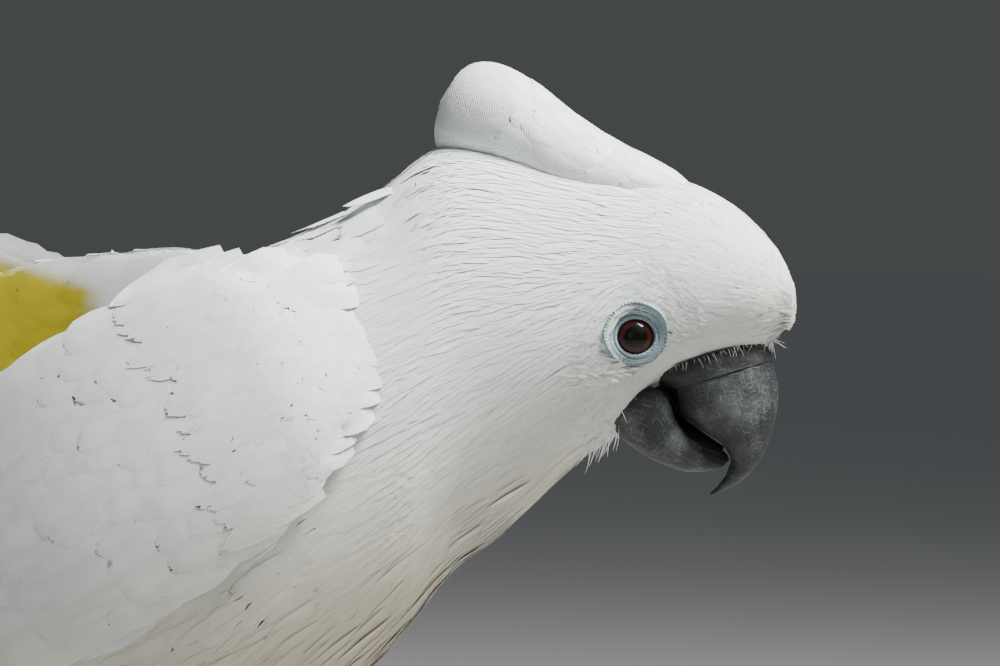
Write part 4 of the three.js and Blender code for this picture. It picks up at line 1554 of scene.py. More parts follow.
class Wing:
    """One wing's plumage: coverts on both faces over tertials, secondaries and primaries."""

    BANDS = (
        CovertBand(-8, 12, 4.5, 4.0, 17, 8.5, 0.18),
        CovertBand(12, 40, 6.5, 5.8, 24, 12.5, 0.2),
        CovertBand(40, 66, 8.0, 7.2, 31, 16, 0.24),
        CovertBand(66, 96, 10.0, 8.0, 37, 18.5, 0.26),
    )

    def __init__(self, shape: WingShape, finishes: Finishes, rows: dict[str, FeatherRow], seed: int) -> None:
        """Keeps the wing's shape and its rows of long feathers.

        Args:
            shape: Its shape and place.
            finishes: The finishes.
            rows: Its rows of long feathers, by the name of the piece that they go to.
            seed: The start of its random numbers.
        """
        self.shape = shape
        self.finishes = finishes
        self.rows = rows
        self.seed = seed
        self.word = shape.side.word

    def build(self) -> None:
        """Builds the wing's pieces."""
        self._coverts(f"coat_wing_{self.word}_coverts", self.shape.outer, Hues.body, 0)
        self._coverts(f"coat_wing_{self.word}_lining", self.shape.inner, Hues.underwing, 5)
        self._shoulder()
        for offset, node in enumerate(("secondaries", "primaries")):
            self._long_feathers(node, self.seed + 10 + offset)

    def _coverts(self, name: str, place: Place, tint: Tint, offset: int) -> None:
        """Coverts over one face of the wing, in bands that grow longer towards the tips."""
        coat = Coat(name, self.seed + offset, domain=(-12, 110, 0, 60))

        def lie(a: Values, high: Values, out: Values) -> Points:
            """Points by millimetres up from the lower edge, squeezed where the arm narrows."""
            low, top = self.shape.edges(a)
            return place(a, low + high / 60 * (top - low), out)

        for band in self.BANDS:
            a, high = self._band_roots(band, coat.random)
            stray = coat.random.normal(size=(3, len(a)))
            tufts = Tufts(
                a, high, band.length * (1 + 0.07 * stray[1]), band.width * (1 + 0.05 * stray[2]),
                band.rise + 0.05 * np.abs(stray[0]), 0.8, 0.03 * stray[0],
            )
            coat.lay(lie, tufts, COVERT_VANE, tint)
        coat.build(self.finishes.contour, "plumage")

    def _shoulder(self) -> None:
        """Soft feathers that run from the breast and mantle over the wing's front edge."""
        coat = Coat(f"coat_shoulder_{self.word}", self.seed + 9, domain=(-30, 60, -20, 70))
        a, b = (grid.ravel() for grid in np.meshgrid(np.arange(-26, 6, 2.8), np.arange(-2, 57, 2.3)))
        low, high = (np.interp(a, [-24, -6, 4], edge) for edge in ([12, 4, -2], [44, 54, 58]))
        stays = (b > low) & (b < high)
        a, b = a[stays], b[stays]
        a = a + coat.random.uniform(-1.6, 1.6, len(a)) - 4 * coat.random.random(len(a)) * (a < -20)
        b = b + coat.random.uniform(-1.5, 1.5, len(b))
        stray = coat.random.normal(size=(2, len(a)))
        length = np.interp(a, [-24, 4], [15, 21]) * (1 + 0.15 * stray[0])
        width = np.interp(a, [-24, 4], [6.0, 8.6])
        sink = np.interp(a, [-24, -14, -6], [7.0, 4.0, 0.8])
        tufts = Tufts(a, b, length, width, 0.1 + 0.03 * np.abs(stray[1]), sink, 0.05 * stray[1])
        coat.lay(self.shape.shoulder, tufts, EDGE_LOCK, Hues.body)
        coat.build(self.finishes.contour, "plumage")

    def _band_roots(self, band: CovertBand, random: np.random.Generator) -> tuple[Values, Values]:
        """Staggered roots of one band: places along, and heights on a scale of 60."""
        along, across = [], []
        for ring, a in enumerate(np.arange(band.start, band.end, band.gap)):
            low, high = (float(edge) for edge in self.shape.edges(np.array(a)))
            margin = 0.5 * band.width / (high - low)
            count = max(2, round((high - low) * (1 - 2 * margin) / band.pitch) + 1)
            over = margin * (1.35 if self.shape.side is Side.LEFT else 1.2)
            share = np.linspace(margin, 1 - over, count) + (ring % 2 - 0.5) * 0.4 / count * (1 - 2 * margin)
            share = share + random.uniform(-0.12, 0.12, count) * band.pitch / (high - low)
            along.append(a + random.uniform(-0.25, 0.25, count) * band.gap)
            across.append(60 * np.clip(share, margin * 0.8, 1 - over))
        return np.concatenate(along), np.concatenate(across)

    def _long_feathers(self, node: str, seed: int) -> None:
        """Long feathers of one node, laid from the lowest layer up."""
        coat = Coat(f"wing_{self.word}_{node}_vanes", seed, domain=(0, 250, 0, 1))
        order = 0
        for name, row in self.rows.items():
            if not name.startswith(node):
                continue
            for index in range(row.count):
                share = index / (row.count - 1)
                start, tip, layer = (
                    np.array(first) * (1 - share) + np.array(last) * share
                    for first, last in (row.roots, row.tips, row.layers)
                )
                self._one_feather(coat, start, tip, layer, row.width, order)
                order += 1
        coat.build(self.finishes.flight, "flight_feather", f"wing_{self.word}_{node}")

    def _one_feather(self, coat: Coat, start: Values, tip: Values, layer: float, width: float,
                     order: int) -> None:
        """One long feather from its root to its tip in the flat layout."""
        reach = tip - start
        length = float(np.linalg.norm(reach))
        ahead = reach / length

        def place(far: Values, across: Values, out: Values) -> Points:
            """Points of the feather's own strip of the wing."""
            a = start[0] + ahead[0] * far - ahead[1] * across
            b = start[1] + ahead[1] * far + ahead[0] * across
            return self.shape.point(a, b, layer + out)

        lining = Hues.underwing if self.shape.side is Side.LEFT else None
        tufts = Tufts([0.0], [0.0], length, width * coat.random.uniform(0.94, 1.04), 0.0, 0.0)
        coat.domain = (-40.0 * (order % 4), 250, -order - 0.5, 30)
        coat.lay(place, tufts, FLIGHT_VANE, Hues.body, under=lining)


class Tail(Maker):
    """Twelve tail feathers in pairs, the middle pair on top."""

    ROOT = (-92.0, 0.0, 49.0)
    DIP = math.radians(11)
    LENGTH = 150.0
    WIDTH = 25.0
    FAN = math.radians(1.5)
    STEP = 1.0

    def build(self) -> None:
        """Builds the tail's vanes."""
        coat = Coat("tail_vanes", 61, domain=(-60, 250, -8, 8))
        for pair in range(6):
            for side in (-1, 1):
                self._feather(coat, pair, side)
        coat.build(self.finishes.flight, "flight_feather", "tail")

    def _feather(self, coat: Coat, pair: int, side: int) -> None:
        """One feather of a pair."""
        fan = (pair + 0.35) * self.FAN * side

        def place(far: Values, across: Values, out: Values) -> Points:
            """Points of the feather's own strip of the tail."""
            back = far * math.cos(fan) + across * math.sin(fan)
            wide = far * math.sin(fan) - across * math.cos(fan) + side * 3.2 * pair
            high = out - pair * self.STEP - wide**2 / 170
            along = back * math.cos(self.DIP) - high * math.sin(self.DIP)
            rise = high * math.cos(self.DIP) - back * math.sin(self.DIP)
            return np.stack([self.ROOT[0] - along, wide, self.ROOT[2] + rise], -1)

        tufts = Tufts([0.0], [0.0], self.LENGTH - 1.2 * pair**2, self.WIDTH, 0.0, 0.0)
        coat.lay(place, tufts, FLIGHT_VANE, Hues.body, under=self._lining)

    def _lining(self, spot: Points) -> Values:
        """Pale yellow under the tail's base, white at its end."""
        wash = 0.6 * np.clip((spot[..., 0] + 215) / 70, 0, 1)[..., None]
        return Hues.COOL * (1 - wash) + Hues.YELLOW * wash


CREST = Outline((
    (124.5, 186.2, 119.5, 180.5, 5, 0.5),
    (115.0, 191.2, 108.5, 180.0, 9.5, 0.5),
    (105.8, 195.6, 98.5, 181.0, 11.5, 0.5),
    (98.6, 199.8, 89.5, 183.0, 12.5, 0.5),
    (91.0, 205.2, 81.5, 187.0, 12.8, 0.5),
    (84.6, 210.2, 74.5, 190.0, 12.4, 0.5),
    (79.2, 213.6, 68.2, 192.0, 11.4, 0.5),
    (74.0, 215.5, 63.6, 193.5, 9.8, 0.5),
    (69.6, 215.4, 60.9, 196.5, 7.6, 0.5),
    (66.0, 213.2, 60.4, 200.6, 5.0, 0.5),
    (63.4, 209.6, 61.2, 204.6, 2.4, 0.5),
))


def crest_point(at: Values, angle: Values, out: Values) -> Points:
    """A point of the crest's coat; places past the last row close over its blunt end."""
    at, angle, out = spread(at, angle, out)
    ring = CREST.point(np.clip(at, 0.02, CREST.last), angle, out)
    pole = TURN.apply(np.array([[61.6, 0.0, 207.0]]))[0]
    share = np.clip(at - CREST.last, 0, 0.97)[..., None]
    return ring * (1 - share) + pole * share


@dataclass(frozen=True)
class CrestRow:
    """One row of the crest: where its roots start and end along the crest, and its feathers' measures."""

    node: str
    start: float
    end: float
    gap: float
    pitch: float
    length: float
    width: float
    rise: float


class Crest(Maker):
    """The broad crest, laid back in three rows of rounded feathers that wrap over its back."""

    ROWS = (
        CrestRow("crest_long", 1.6, 9.2, 4.0, 4.2, 34, 11.5, 0.2),
        CrestRow("crest_middle", 0.9, 2.4, 3.0, 3.4, 25, 9.5, 0.5),
        CrestRow("crest_short", 0.2, 1.1, 2.2, 2.6, 16, 7, 0.6),
    )

    def build(self) -> None:
        """Builds each row."""
        self._core()
        for index, row in enumerate(self.ROWS):
            coat = Coat(f"{row.node}_vanes", 71 + index, domain=(-1, 10, -math.pi, math.pi))
            gaps = lambda at: (row.gap, row.pitch)
            u, v = lattice(crest_point, row.start, row.end, gaps, coat.random, 0.2)
            fine = np.linspace(0, CREST.last, 80)
            far = run_along(CREST.point(fine, 0.0, 0.0))
            left = far[-1] - np.interp(u, fine, far)
            stays = (np.abs(v) < 2.7) | (u > 5)
            u, v, left = u[stays], v[stays], left[stays]
            stray = coat.random.normal(size=(2, len(u)))
            length = np.minimum(row.length * (1 + 0.06 * stray[0]), left + 1.2)
            width = row.width * np.clip(left / 14, 0.55, 1)
            tufts = Tufts(u, v, length, width, row.rise + 0.08 * stray[1], 1.2, 0.04 * stray[0])
            coat.lay(crest_point, tufts, CREST_VANE, Hues.crest)
            coat.build(self.finishes.flight, "plumage", row.node)

    def _core(self) -> None:
        """The crest's inner bulk of down and overlapped bases."""
        core = loft("crest_down", CREST.point, 0.05, CREST.last, 60, 48, -0.7)
        paint(core, Hues.crest(vertex_array(core)))
        dress(core, self.finishes.skin, "plumage")


# ---------- bill, eyes and feet ----------


class Bill(Maker):
    """Both halves of the bill, the cere and the tongue, in chalky horn."""

    def build(self) -> None:
        """Builds each part."""
        upper = loft("upper_bill_horn", UPPER_BILL.point, 0.0, UPPER_BILL.last, 110, 96, run=(52, 10))
        self._roughen(upper, 0.06, 0.03)
        self._wear(upper, (131.5, 135.0), (5.0, 5.5), (139.6, 131.0))
        dress(upper, self.finishes.horn, "horn", "bill_upper")
        lower = self._hollow_lower()
        self._wear(lower, (117.0, 127.0), (5.0, 3.0), (126, 120.5))
        dress(lower, self.finishes.horn, "horn", "bill_lower")
        cere = loft("cere_skin", CERE.point, 0.0, CERE.last + 0.14, 24, 80, run=(6, 12))
        self._roughen(cere, 0.12, 0.0)
        note(cere, "worn", np.zeros(len(cere.data.vertices)))
        dress(cere, self.finishes.cere, "horn", "cere")
        tongue = loft("tongue_flesh", TONGUE.point, 0.0, TONGUE.last, 40, 32)
        dress(tongue, self.finishes.mouth, "mouth", "tongue")

    def _hollow_lower(self) -> Piece:
        """The lower half, scooped out inside its rim."""
        along, around = 100, 96
        lower = loft("lower_bill_horn", LOWER_BILL.point, 0.0, LOWER_BILL.last, along, around, run=(34, 10))
        spots = vertex_array(lower)
        rows = np.append(np.repeat(np.linspace(0, 1, along), around), [0.0, 1.0])
        turn = full_turn(around)
        angle = np.append(np.tile(turn, along), [0.0, 0.0])
        inside = eased(np.clip((np.cos(angle) - 0.72) / 0.2, 0, 1))
        turned = np.abs((angle + math.pi) % (2 * math.pi) - math.pi)
        lip = 1.1 * np.exp(-(((turned - 0.85) / 0.22) ** 2))
        spots[:, 2] += lip * np.interp(rows, [0.1, 0.3, 0.9, 1], [0, 1, 1, 0])
        deep = np.interp(rows, [0.0, 0.22, 0.4, 0.8, 0.96, 1.0], [0.0, 2.0, 6.0, 3.0, 0.4, 0.0])
        spots[:, 2] -= inside * deep
        spots[:, 0] -= inside * deep * 0.35
        set_vertices(lower, spots)
        self._roughen(lower, 0.05, 0.03)
        return lower

    def _roughen(self, horn: Piece, swell: float, ridge: float) -> None:
        """Gives horn its low growth swells and uneven surface."""
        spots = vertex_array(horn)
        x, y, z = spots.T
        waves = np.sin(0.9 * x + 0.7 * z + 0.5 * np.sin(0.8 * y)) * np.sin(0.6 * x - 1.1 * z + 0.3 * y)
        lines = np.sin(4.2 * z + 1.1 * x + np.sin(0.6 * y + 0.5 * x))
        high = swell * waves + ridge * lines
        set_vertices(horn, spots + vertex_values(horn, "normal") * high[:, None])

    def _wear(self, horn: Piece, patch: tuple[float, float], size: tuple[float, float],
              dark: tuple[float, float]) -> None:
        """Notes where the horn is worn pale and where it stays dark."""
        spots = vertex_array(horn)
        away = ((spots[:, 0] - patch[0]) / size[0]) ** 2 + ((spots[:, 2] - patch[1]) / size[1]) ** 2
        gloom = ((spots[:, 0] - dark[0]) / 2.2) ** 2 + ((spots[:, 2] - dark[1]) / 5.0) ** 2
        note(horn, "worn", np.exp(-away) - 0.8 * np.exp(-gloom))


class Eye:
    """One eye in its ring of bare, wrinkled skin, with lids."""

    def __init__(self, spot: EyeSpot, finishes: Finishes) -> None:
        """Keeps the eye's place and the finishes."""
        self.spot = spot
        self.finishes = finishes

    def build(self) -> None:
        """Builds the ball, the ring and the beads along its lids."""
        self._ball()
        self._ring()

    def _ball(self) -> None:
        """The eyeball with its cornea."""
        size = self.spot.ball
        tilt = np.linspace(0.03, math.pi - 0.03, 64)
        radius, high = size * np.sin(tilt), size * np.cos(tilt)
        high = high + 0.35 * np.maximum(0, 1 - (radius / 4.4) ** 2) * (high > 0)
        angle = full_turn(64)[None, :]
        rings = self.spot.point(radius[:, None], angle, high[:, None])
        ball = make_object(f"eyeball_{self.spot.side.word}", with_poles(rings), loft_faces(64, 64))
        turn_outward(ball)
        radial = np.repeat(np.where(tilt < math.pi / 2, np.minimum(1, radius / 4.5), 1.0), 64)
        note(ball, "radial", np.append(radial, [0.0, 1.0]))
        dress(ball, self.finishes.eye, "iris", f"eye_{self.spot.side.word}")

    def _surface(self, side_x: Values, side_y: Values) -> Values:
        """The head's height under places square to the line of sight, from a curved sheet fitted to it."""
        at = np.linspace(1.0, 7.0, 90)[:, None]
        angle = self.spot.side.value * np.linspace(0.4, 2.9, 120)[None, :]
        spots = head_point(at, angle, 0 * at * angle).reshape(-1, 3)
        centre = self.spot.point(0, 0, 0)
        axes = [self.spot.point(*step) - centre for step in ((1, 0, 0), (1, math.pi / 2, 0), (0, 0, 1))]
        x, y, high = ((spots - centre) @ axis for axis in axes)
        near = (np.hypot(x, y) > 4) & (np.hypot(x, y) < 10) & (high > -4)
        sheet = lambda p, q: np.stack([1 + 0 * p, p, q, p * p, q * q, p * q], -1)
        fit = np.linalg.lstsq(sheet(x[near], y[near]), high[near], rcond=None)[0]
        return sheet(side_x, side_y) @ fit

    def _ring(self) -> None:
        """The bare ring: wrinkled folds from a swollen lid out to a rim that lies on the head."""
        side = self.spot.side.word
        around, count = 180, 64
        angle = full_turn(around)[None, :]
        share = np.linspace(0, 1, count)[:, None]
        inner = 4.22 * (1 + 0.035 * np.cos(2 * angle))
        outer = 8.0 + 0.75 * np.sin(angle) + 0.12 * np.sin(5 * angle + 1)
        radius = inner + share * (outer - inner)
        rest = self._surface(radius * np.cos(angle), radius * np.sin(angle)) + 0.45
        ease = eased(np.clip((share - 0.08) / 0.8, 0, 1))
        lid = 0.5 * np.exp(-((share - 0.13) / 0.09) ** 2) + 0.22 * np.exp(-((share - 0.42) / 0.07) ** 2)
        warp = 0.35 * np.sin(3 * angle + 0.6) + 0.2 * np.sin(7 * angle + 2)
        folds = 0.13 * np.sin(2 * math.pi * (share * 7.5 + 0.25 * warp)) * np.sin(math.pi * share) ** 0.5
        cracks = 0.05 * np.sin(40 * angle + 6 * share + 3 * warp) * np.clip(share * 3, 0, 1)
        top = 5.0 * (1 - ease) + rest * ease + lid + folds + cracks
        top = top - 0.8 * np.clip((share - 0.88) / 0.12, 0, 1)
        under = np.minimum(top - 0.6, 4.1 * (1 - ease) + (rest - 1.6) * ease)
        outer_face, inner_face = (self.spot.point(radius, angle, high) for high in (top, under))
        rings = np.concatenate([outer_face, inner_face[::-1]])
        rows = len(rings)
        faces = []
        for i in range(rows):
            this, after = i * around, (i + 1) % rows * around
            for j in range(around):
                k = (j + 1) % around
                faces.append([this + j, this + k, after + k, after + j])
        ring = make_object(f"eye_ring_skin_{side}", rings.reshape(-1, 3), faces)
        turn_outward(ring)
        join(ring, self._beads(side, rings[:count]))
        dress(ring, self.finishes.eye_ring, "bare_skin", f"eye_ring_{side}")

    def _beads(self, side: str, rings: Points) -> Piece:
        """Small beads of skin along the lid and the rim."""
        lid, rim = rings[7][::4], rings[52][::3]
        spots = np.vstack([lid, rim])
        size = np.concatenate([np.full(len(lid), 0.26), np.full(len(rim), 0.34)])
        sight = unit(self.spot.point(0, 0, 9.0) - self.spot.point(0, 0, 0.0))
        outward = np.repeat(sight[None], len(spots), 0)
        repeater = Repeater(f"eye_beads_{side}", self.finishes.eye_ring, 5)
        return repeater.scatter(spots, outward, size, bead_form(), 0.25)


def bead_form() -> Piece:
    """A small rounded bead, a little flattened."""
    angle = full_turn(7)
    tilt = np.array([0.5, 1.25, 2.0, 2.7])[:, None]
    wide, high = np.sin(tilt), 0.7 * np.cos(tilt)
    rings = np.stack([wide * np.cos(angle), wide * np.sin(angle), high + 0 * angle], -1)
    poles = np.array([[0, 0, 0.72], [0, 0, -0.7]])
    return make_form("bead_form", np.vstack([rings.reshape(-1, 3), poles]), loft_faces(4, 7))


def bristle_form() -> Piece:
    """A thin bristle that bends forward along its own Z."""
    angle = full_turn(4)
    high = np.array([0.0, 0.3, 0.62, 0.98])[:, None]
    thin = 0.035 * (1 - 0.85 * high)
    bend = 0.16 * high**2
    rings = np.stack([thin * np.cos(angle) + bend, thin * np.sin(angle), high + 0 * angle], -1)
    return make_form("bristle_form", with_poles(rings), loft_faces(4, 4))


def scute_form() -> Piece:
    """A low curved scale, wider than it is long."""
    angle = full_turn(10)
    grow = np.array([1.0, 0.92, 0.6, 0.25])[:, None]
    high = np.array([-0.1, 0.12, 0.24, 0.28])[:, None]
    ahead, aside = 0.5 * grow * np.cos(angle), 0.95 * grow * np.sin(angle)
    rings = np.stack([ahead, aside, high - 0.35 * (grow * np.sin(angle)) ** 2], -1)
    return make_form("scute_form", with_poles(rings), loft_faces(4, 10))


def make_form(name: str, points: Points, faces: list) -> Piece:
    """A small form that a Geometry Nodes tree repeats, in its own unit size."""
    mesh = bpy.data.meshes.new(name)
    mesh.from_pydata(points.tolist(), [], faces)
    mesh.update()
    form = add_object(name, mesh)
    turn_outward(form)
    return form


@dataclass
class Repeater:
    """Geometry Nodes that repeat a small form at given places, each turned along its own direction."""

    name: str
    material: Material
    seed: int

    def scatter(self, spots: Points, ahead: Points, size: Values, form: Piece,
                vary: float, beside: Points | None = None) -> Piece:
        """Repeats a form.

        Args:
            spots: Places in the bird's millimetres.
            ahead: The direction of each one's Z.
            size: The size of each, in millimetres.
            form: The form, which is removed afterwards.
            vary: How far sizes vary, as a share.
            beside: The direction of each one's X, where it matters.

        Returns:
            A plain mesh object.
        """
        holder = make_object(self.name, spots, [])
        mesh = holder.data
        beside = np.roll(ahead, 1, -1) if beside is None else beside
        for label, vectors in (("ahead", ahead), ("beside", beside)):
            layer = mesh.attributes.new(label, "FLOAT_VECTOR", "POINT")
            layer.data.foreach_set("vector", np.asarray(vectors, np.float32).ravel())
        note(holder, "size", np.asarray(size) * MM)
        tree, sockets = self._tree(form)
        modifier = holder.modifiers.new("repeat", "NODES")
        modifier.node_group = tree
        for label, value in (("Vary", vary), ("Seed", self.seed), ("Scale", 1.0)):
            modifier[sockets[label]] = value
        apply_modifiers(holder)
        bpy.data.objects.remove(form)
        holder.data.polygons.foreach_set("use_smooth", np.ones(len(holder.data.polygons), bool))
        return holder

    def _tree(self, form: Piece) -> tuple[bpy.types.NodeTree, dict[str, str]]:
        """Builds the tree and gives its inputs' identifiers by name."""
        tree = bpy.data.node_groups.new(self.name, "GeometryNodeTree")
        face = tree.interface
        face.new_socket("Geometry", in_out="INPUT", socket_type="NodeSocketGeometry")
        sockets = {}
        for label, kind in (("Scale", "Float"), ("Vary", "Float"), ("Seed", "Int")):
            socket = face.new_socket(label, in_out="INPUT", socket_type=f"NodeSocket{kind}")
            sockets[label] = socket.identifier
        face.new_socket("Geometry", in_out="OUTPUT", socket_type="NodeSocketGeometry")
        new, link = tree.nodes.new, tree.links.new
        start, end = new("NodeGroupInput"), new("NodeGroupOutput")
        info = new("GeometryNodeObjectInfo")
        info.inputs["Object"].default_value = form
        named = {}
        for label, kind in (("ahead", "FLOAT_VECTOR"), ("beside", "FLOAT_VECTOR"), ("size", "FLOAT")):
            named[label] = new("GeometryNodeInputNamedAttribute")
            named[label].data_type = kind
            named[label].inputs["Name"].default_value = label
        turn = new("FunctionNodeAxesToRotation")
        turn.primary_axis, turn.secondary_axis = "Z", "X"
        link(named["ahead"].outputs["Attribute"], turn.inputs[0])
        link(named["beside"].outputs["Attribute"], turn.inputs[1])
        random = new("FunctionNodeRandomValue")
        random.data_type = "FLOAT"
        link(start.outputs["Seed"], random.inputs["Seed"])
        for how, limit in (("SUBTRACT", "Min"), ("ADD", "Max")):
            varied = new("ShaderNodeMath")
            varied.operation = how
            varied.inputs[0].default_value = 1.0
            link(start.outputs["Vary"], varied.inputs[1])
            link(varied.outputs[0], random.inputs[limit])
        sized, scaled = new("ShaderNodeMath"), new("ShaderNodeMath")
        sized.operation = scaled.operation = "MULTIPLY"
        link(named["size"].outputs["Attribute"], sized.inputs[0])
        link(random.outputs["Value"], sized.inputs[1])
        link(sized.outputs[0], scaled.inputs[0])
        link(start.outputs["Scale"], scaled.inputs[1])
        repeat = new("GeometryNodeInstanceOnPoints")
        link(start.outputs["Geometry"], repeat.inputs["Points"])
        link(info.outputs["Geometry"], repeat.inputs["Instance"])
        link(turn.outputs[0], repeat.inputs["Rotation"])
        link(scaled.outputs[0], repeat.inputs["Scale"])
        real, finished = new("GeometryNodeRealizeInstances"), new("GeometryNodeSetMaterial")
        finished.inputs["Material"].default_value = self.material
        for before, after in ((repeat, real), (real, finished), (finished, end)):
            link(before.outputs[0], after.inputs["Geometry"])
        return tree, sockets


class FaceBristles(Maker):
    """Bristly hair-like feathers over the cere and at the corner of the jaw."""

    FRONT = 150
    JAW = 130

    def build(self) -> None:
        """Builds the fringe in one piece."""
        random = np.random.default_rng(81)
        count, jaw = self.FRONT, self.JAW
        angle = random.choice([-1, 1], count) * random.uniform(0, 1, count) ** 2 * 2.1
        root = CERE.point(np.full(count, -0.2), angle, random.uniform(0.1, 0.9, count))
        aim = CERE.point(np.full(count, 1.4), angle, random.uniform(0.6, 2.0, count)) - root
        ahead = [unit(unit(aim) + random.normal(scale=0.42, size=(count, 3)))]
        spots = [root]
        reach = np.interp(np.abs(angle), [0, 0.6, 2.2], [4.4, 3.0, 1.8])
        size = [reach * random.uniform(0.5, 1.2, count)]
        u = random.uniform(3.4, 4.6, jaw)
        v = random.choice([-1, 1], jaw) * random.uniform(2.2, 3.1, jaw)
        spots.append(head_point(u, v, np.full(jaw, -0.2)))
        ahead.append(unit(np.array([-0.15, 0, -1.0]) + random.normal(scale=0.3, size=(jaw, 3))))
        size.append(5.0 * random.uniform(0.5, 1.1, jaw))
        fringe = Repeater("face_bristles", self.finishes.hairlike, 9).scatter(
            np.vstack(spots), np.vstack(ahead), np.concatenate(size), bristle_form(), 0.2)
        paint(fringe, np.tile(Hues.COOL * 0.9, (len(fringe.data.vertices), 1)))
        note(fringe, "barb", np.zeros(len(fringe.data.vertices)))
        dress(fringe, self.finishes.hairlike, "plumage")


class Feet(Maker):
    """Bare shanks, toes with pads and scutes, and claws."""

    def build(self) -> None:
        """Builds both feet."""
        for leg in LEGS:
            self._foot(leg)

    def _foot(self, leg: Leg) -> None:
        """One foot: each node has its own finer piece, with scutes along its top."""
        side = leg.side.word
        self._scaled(f"shank_{side}", f"leg_{side}_shank", leg.shank(), 40, 36, 1.5)
        for name, (angle, length, wide) in TOES.items():
            toe = leg.toe(angle, length, wide)
            self._scaled(f"toe_skin_{side}_{name}", f"toe_{side}_{name}", toe, 44, 32, 2.0)
            claw = leg.claw(angle, length)
            claw = loft(f"claw_horn_{side}_{name}", claw.point, 0.0, 1.0, 30, 20, run=(13, 2))
            note(claw, "worn", np.zeros(len(claw.data.vertices)))
            dress(claw, self.finishes.claw, "horn", f"claw_{side}_{name}")

    def _scaled(self, name: str, node: str, limb: Limb, along: int, around: int, pitch: float) -> None:
        """A limb's skin with a row of scutes along the top."""
        skin = loft(name, limb.point, 0.0, 1.0, along, around)
        spine = np.array(limb.spine, float)
        length = np.linalg.norm(np.diff(spine, axis=0), axis=1).sum()
        count = int(length / pitch)
        share = (np.arange(count) + 0.5) / count
        flat = np.zeros(count)
        over, below = (limb.point(0.5, angle, 0)[[0, 2]].sum() for angle in (0.0, math.pi))
        flat = flat if over > below else flat + math.pi
        top = limb.point(share, flat, flat * 0 - 0.1)
        up = unit(limb.point(share, flat, flat * 0 + 1) - top)
        beside = unit(limb.point(share + 0.01, flat, flat) - limb.point(share - 0.01, flat, flat))
        size = 1.25 * pitch * np.ones(count)
        repeater = Repeater(f"{name}_scutes", self.finishes.foot, 3)
        join(skin, repeater.scatter(top, up, size, scute_form(), 0.08, beside))
        dress(skin, self.finishes.foot, "foot_skin", node)


# ---------- studio ----------


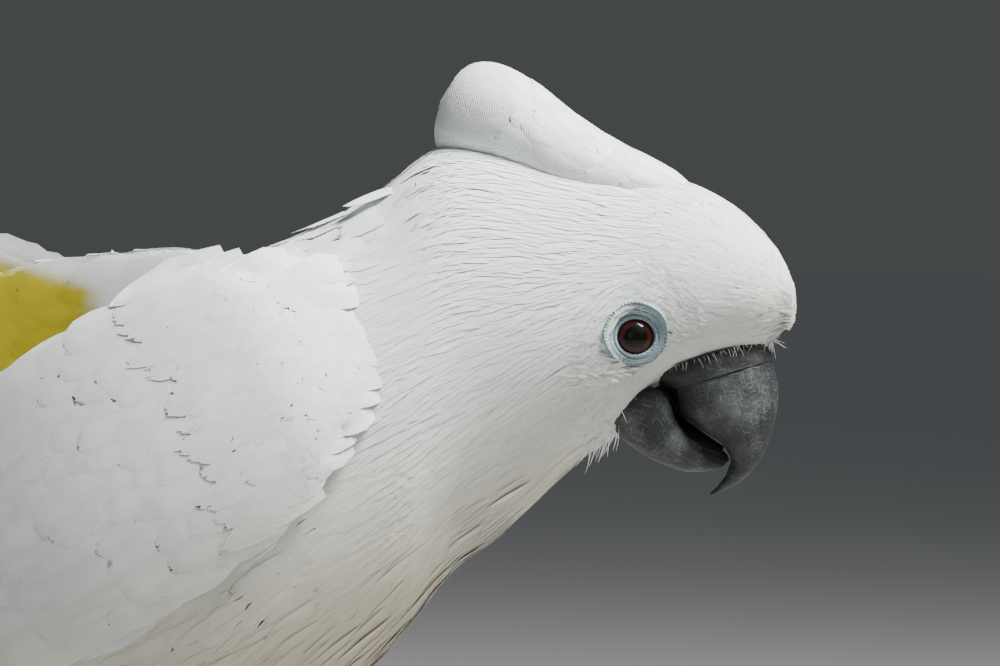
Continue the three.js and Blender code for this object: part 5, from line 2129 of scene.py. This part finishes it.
@dataclass(frozen=True)
class Studio:
    """A plain pale floor, soft lights and the camera."""

    target: tuple[float, float, float] = (75.71, 0.0, 151.67)
    distance: float = 1300.0
    elevation: float = 2.0
    pixels_per_mm: float = 4.2
    width: int = 1000

    def build(self, finishes: Finishes) -> None:
        """Builds the floor, the lights and the camera."""
        self._floor(finishes)
        self._world()
        self._light("key_softbox", at=(385, -150, 696), towards=(60, -10, 150), size=300, power=10.5,
                    colour=(1.0, 0.99, 0.96), spread_angle=130)
        self._light("fill_softbox", at=(-300, -1000, 300), towards=(0, 0, 130), size=500, power=0.5,
                    colour=(0.88, 0.95, 1.0), spread_angle=180)
        self._camera()

    def _floor(self, finishes: Finishes) -> None:
        """The floor, a large low disc with a rounded edge."""
        angle = full_turn(96)
        rings = [(1.0, -10.0), (7000.0, -10.0), (7004.0, -6.0), (7000.0, 0.0), (1.0, 0.0)]
        spots = np.array([[(r * math.cos(t), r * math.sin(t), z) for t in angle] for r, z in rings])
        floor = make_object("studio_floor", with_poles(spots), loft_faces(5, 96), smooth=False)
        turn_outward(floor)
        floor.data.materials.append(finishes.floor)

    def _world(self) -> None:
        """Even pale light from all round."""
        world = bpy.data.worlds.new("studio_world")
        world.use_nodes = True
        tree = world.node_tree
        where, split, ramp = (tree.nodes.new(kind) for kind in (
            "ShaderNodeTexCoord", "ShaderNodeSeparateXYZ", "ShaderNodeValToRGB"))
        tree.links.new(where.outputs["Generated"], split.inputs[0])
        tree.links.new(split.outputs["Z"], ramp.inputs[0])
        low, high = ramp.color_ramp.elements
        low.position, low.color = 0.05, (0.066, 0.070, 0.072, 1)
        high.position, high.color = 0.9, (0.16, 0.172, 0.18, 1)
        back = tree.nodes["Background"]
        tree.links.new(ramp.outputs[0], back.inputs["Color"])
        back.inputs["Strength"].default_value = 1.0
        bpy.context.scene.world = world

    def _light(self, name: str, at: tuple[float, float, float], towards: tuple[float, float, float],
               size: float, power: float, colour: tuple[float, float, float], spread_angle: float) -> None:
        """One square soft light.

        Args:
            name: Its name.
            at: Its place, in the bird's millimetres.
            towards: What it looks at.
            size: Its side in millimetres.
            power: Its power in watts.
            colour: Its colour.
            spread_angle: How wide it shines, in degrees.
        """
        lamp = bpy.data.lights.new(name, "AREA")
        lamp.shape, lamp.size, lamp.energy, lamp.color = "SQUARE", size * MM, power, colour
        lamp.spread = math.radians(spread_angle)
        light = add_object(name, lamp)
        spot, aim = (Vector(place_in_frame(np.array(p, float))[0]) for p in (at, towards))
        light.location = spot
        light.rotation_euler = (aim - spot).to_track_quat("-Z", "Y").to_euler()
        light.visible_camera = False

    def _camera(self) -> None:
        """The camera, level with the bird and square to its side."""
        lens = bpy.data.cameras.new("camera")
        lens.sensor_width = 36.0
        lens.lens = 36.0 * self.distance * self.pixels_per_mm / self.width
        lens.clip_start, lens.clip_end = 0.05, 60
        camera = add_object("camera", lens)
        aim = Vector(place_in_frame(np.array(self.target))[0])
        tilt = math.radians(self.elevation)
        back = Vector((0, -math.cos(tilt), math.sin(tilt))) * self.distance * MM
        camera.location = aim + back
        camera.rotation_euler = (-back).to_track_quat("-Z", "Y").to_euler()
        bpy.context.scene.camera = camera


ARM_FEATHERS = {
    "secondaries_tertials": FeatherRow(((66, 46), (76, 36)), ((122, 49), (148, 36)), (1.4, 0.4), 21, 4),
    "secondaries": FeatherRow(((82, 32), (76, 0)), ((152, 30), (132, -3)), (-0.1, -0.9), 20, 8),
}
HAND_FEATHERS = {
    Side.RIGHT: FeatherRow(((104, 8), (104, 14)), ((168, 20), (240, 31)), (-1.7, -2.8), 18, 7),
    Side.LEFT: FeatherRow(((96, 0), (96, 10)), ((152, -18), (231, 6)), (-1.7, -2.8), 22, 8),
}


def main() -> None:
    """Builds the bird over its frame, then the studio."""
    logging.basicConfig(level=logging.INFO, format="%(name)s: %(message)s")
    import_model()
    finishes = Finishes()
    Studio().build(finishes)
    Skin().build(finishes.skin)
    BodyPlumage(finishes).build()
    ThighPlumage(finishes).build()
    for shape, seed in ((RIGHT_WING, 41), (LEFT_WING, 141)):
        Wing(shape, finishes, {"primaries": HAND_FEATHERS[shape.side], **ARM_FEATHERS}, seed).build()
    Tail(finishes).build()
    Crest(finishes).build()
    Bill(finishes).build()
    for spot in EYES:
        Eye(spot, finishes).build()
    FaceBristles(finishes).build()
    Feet(finishes).build()


if __name__ == "__main__":
    main()
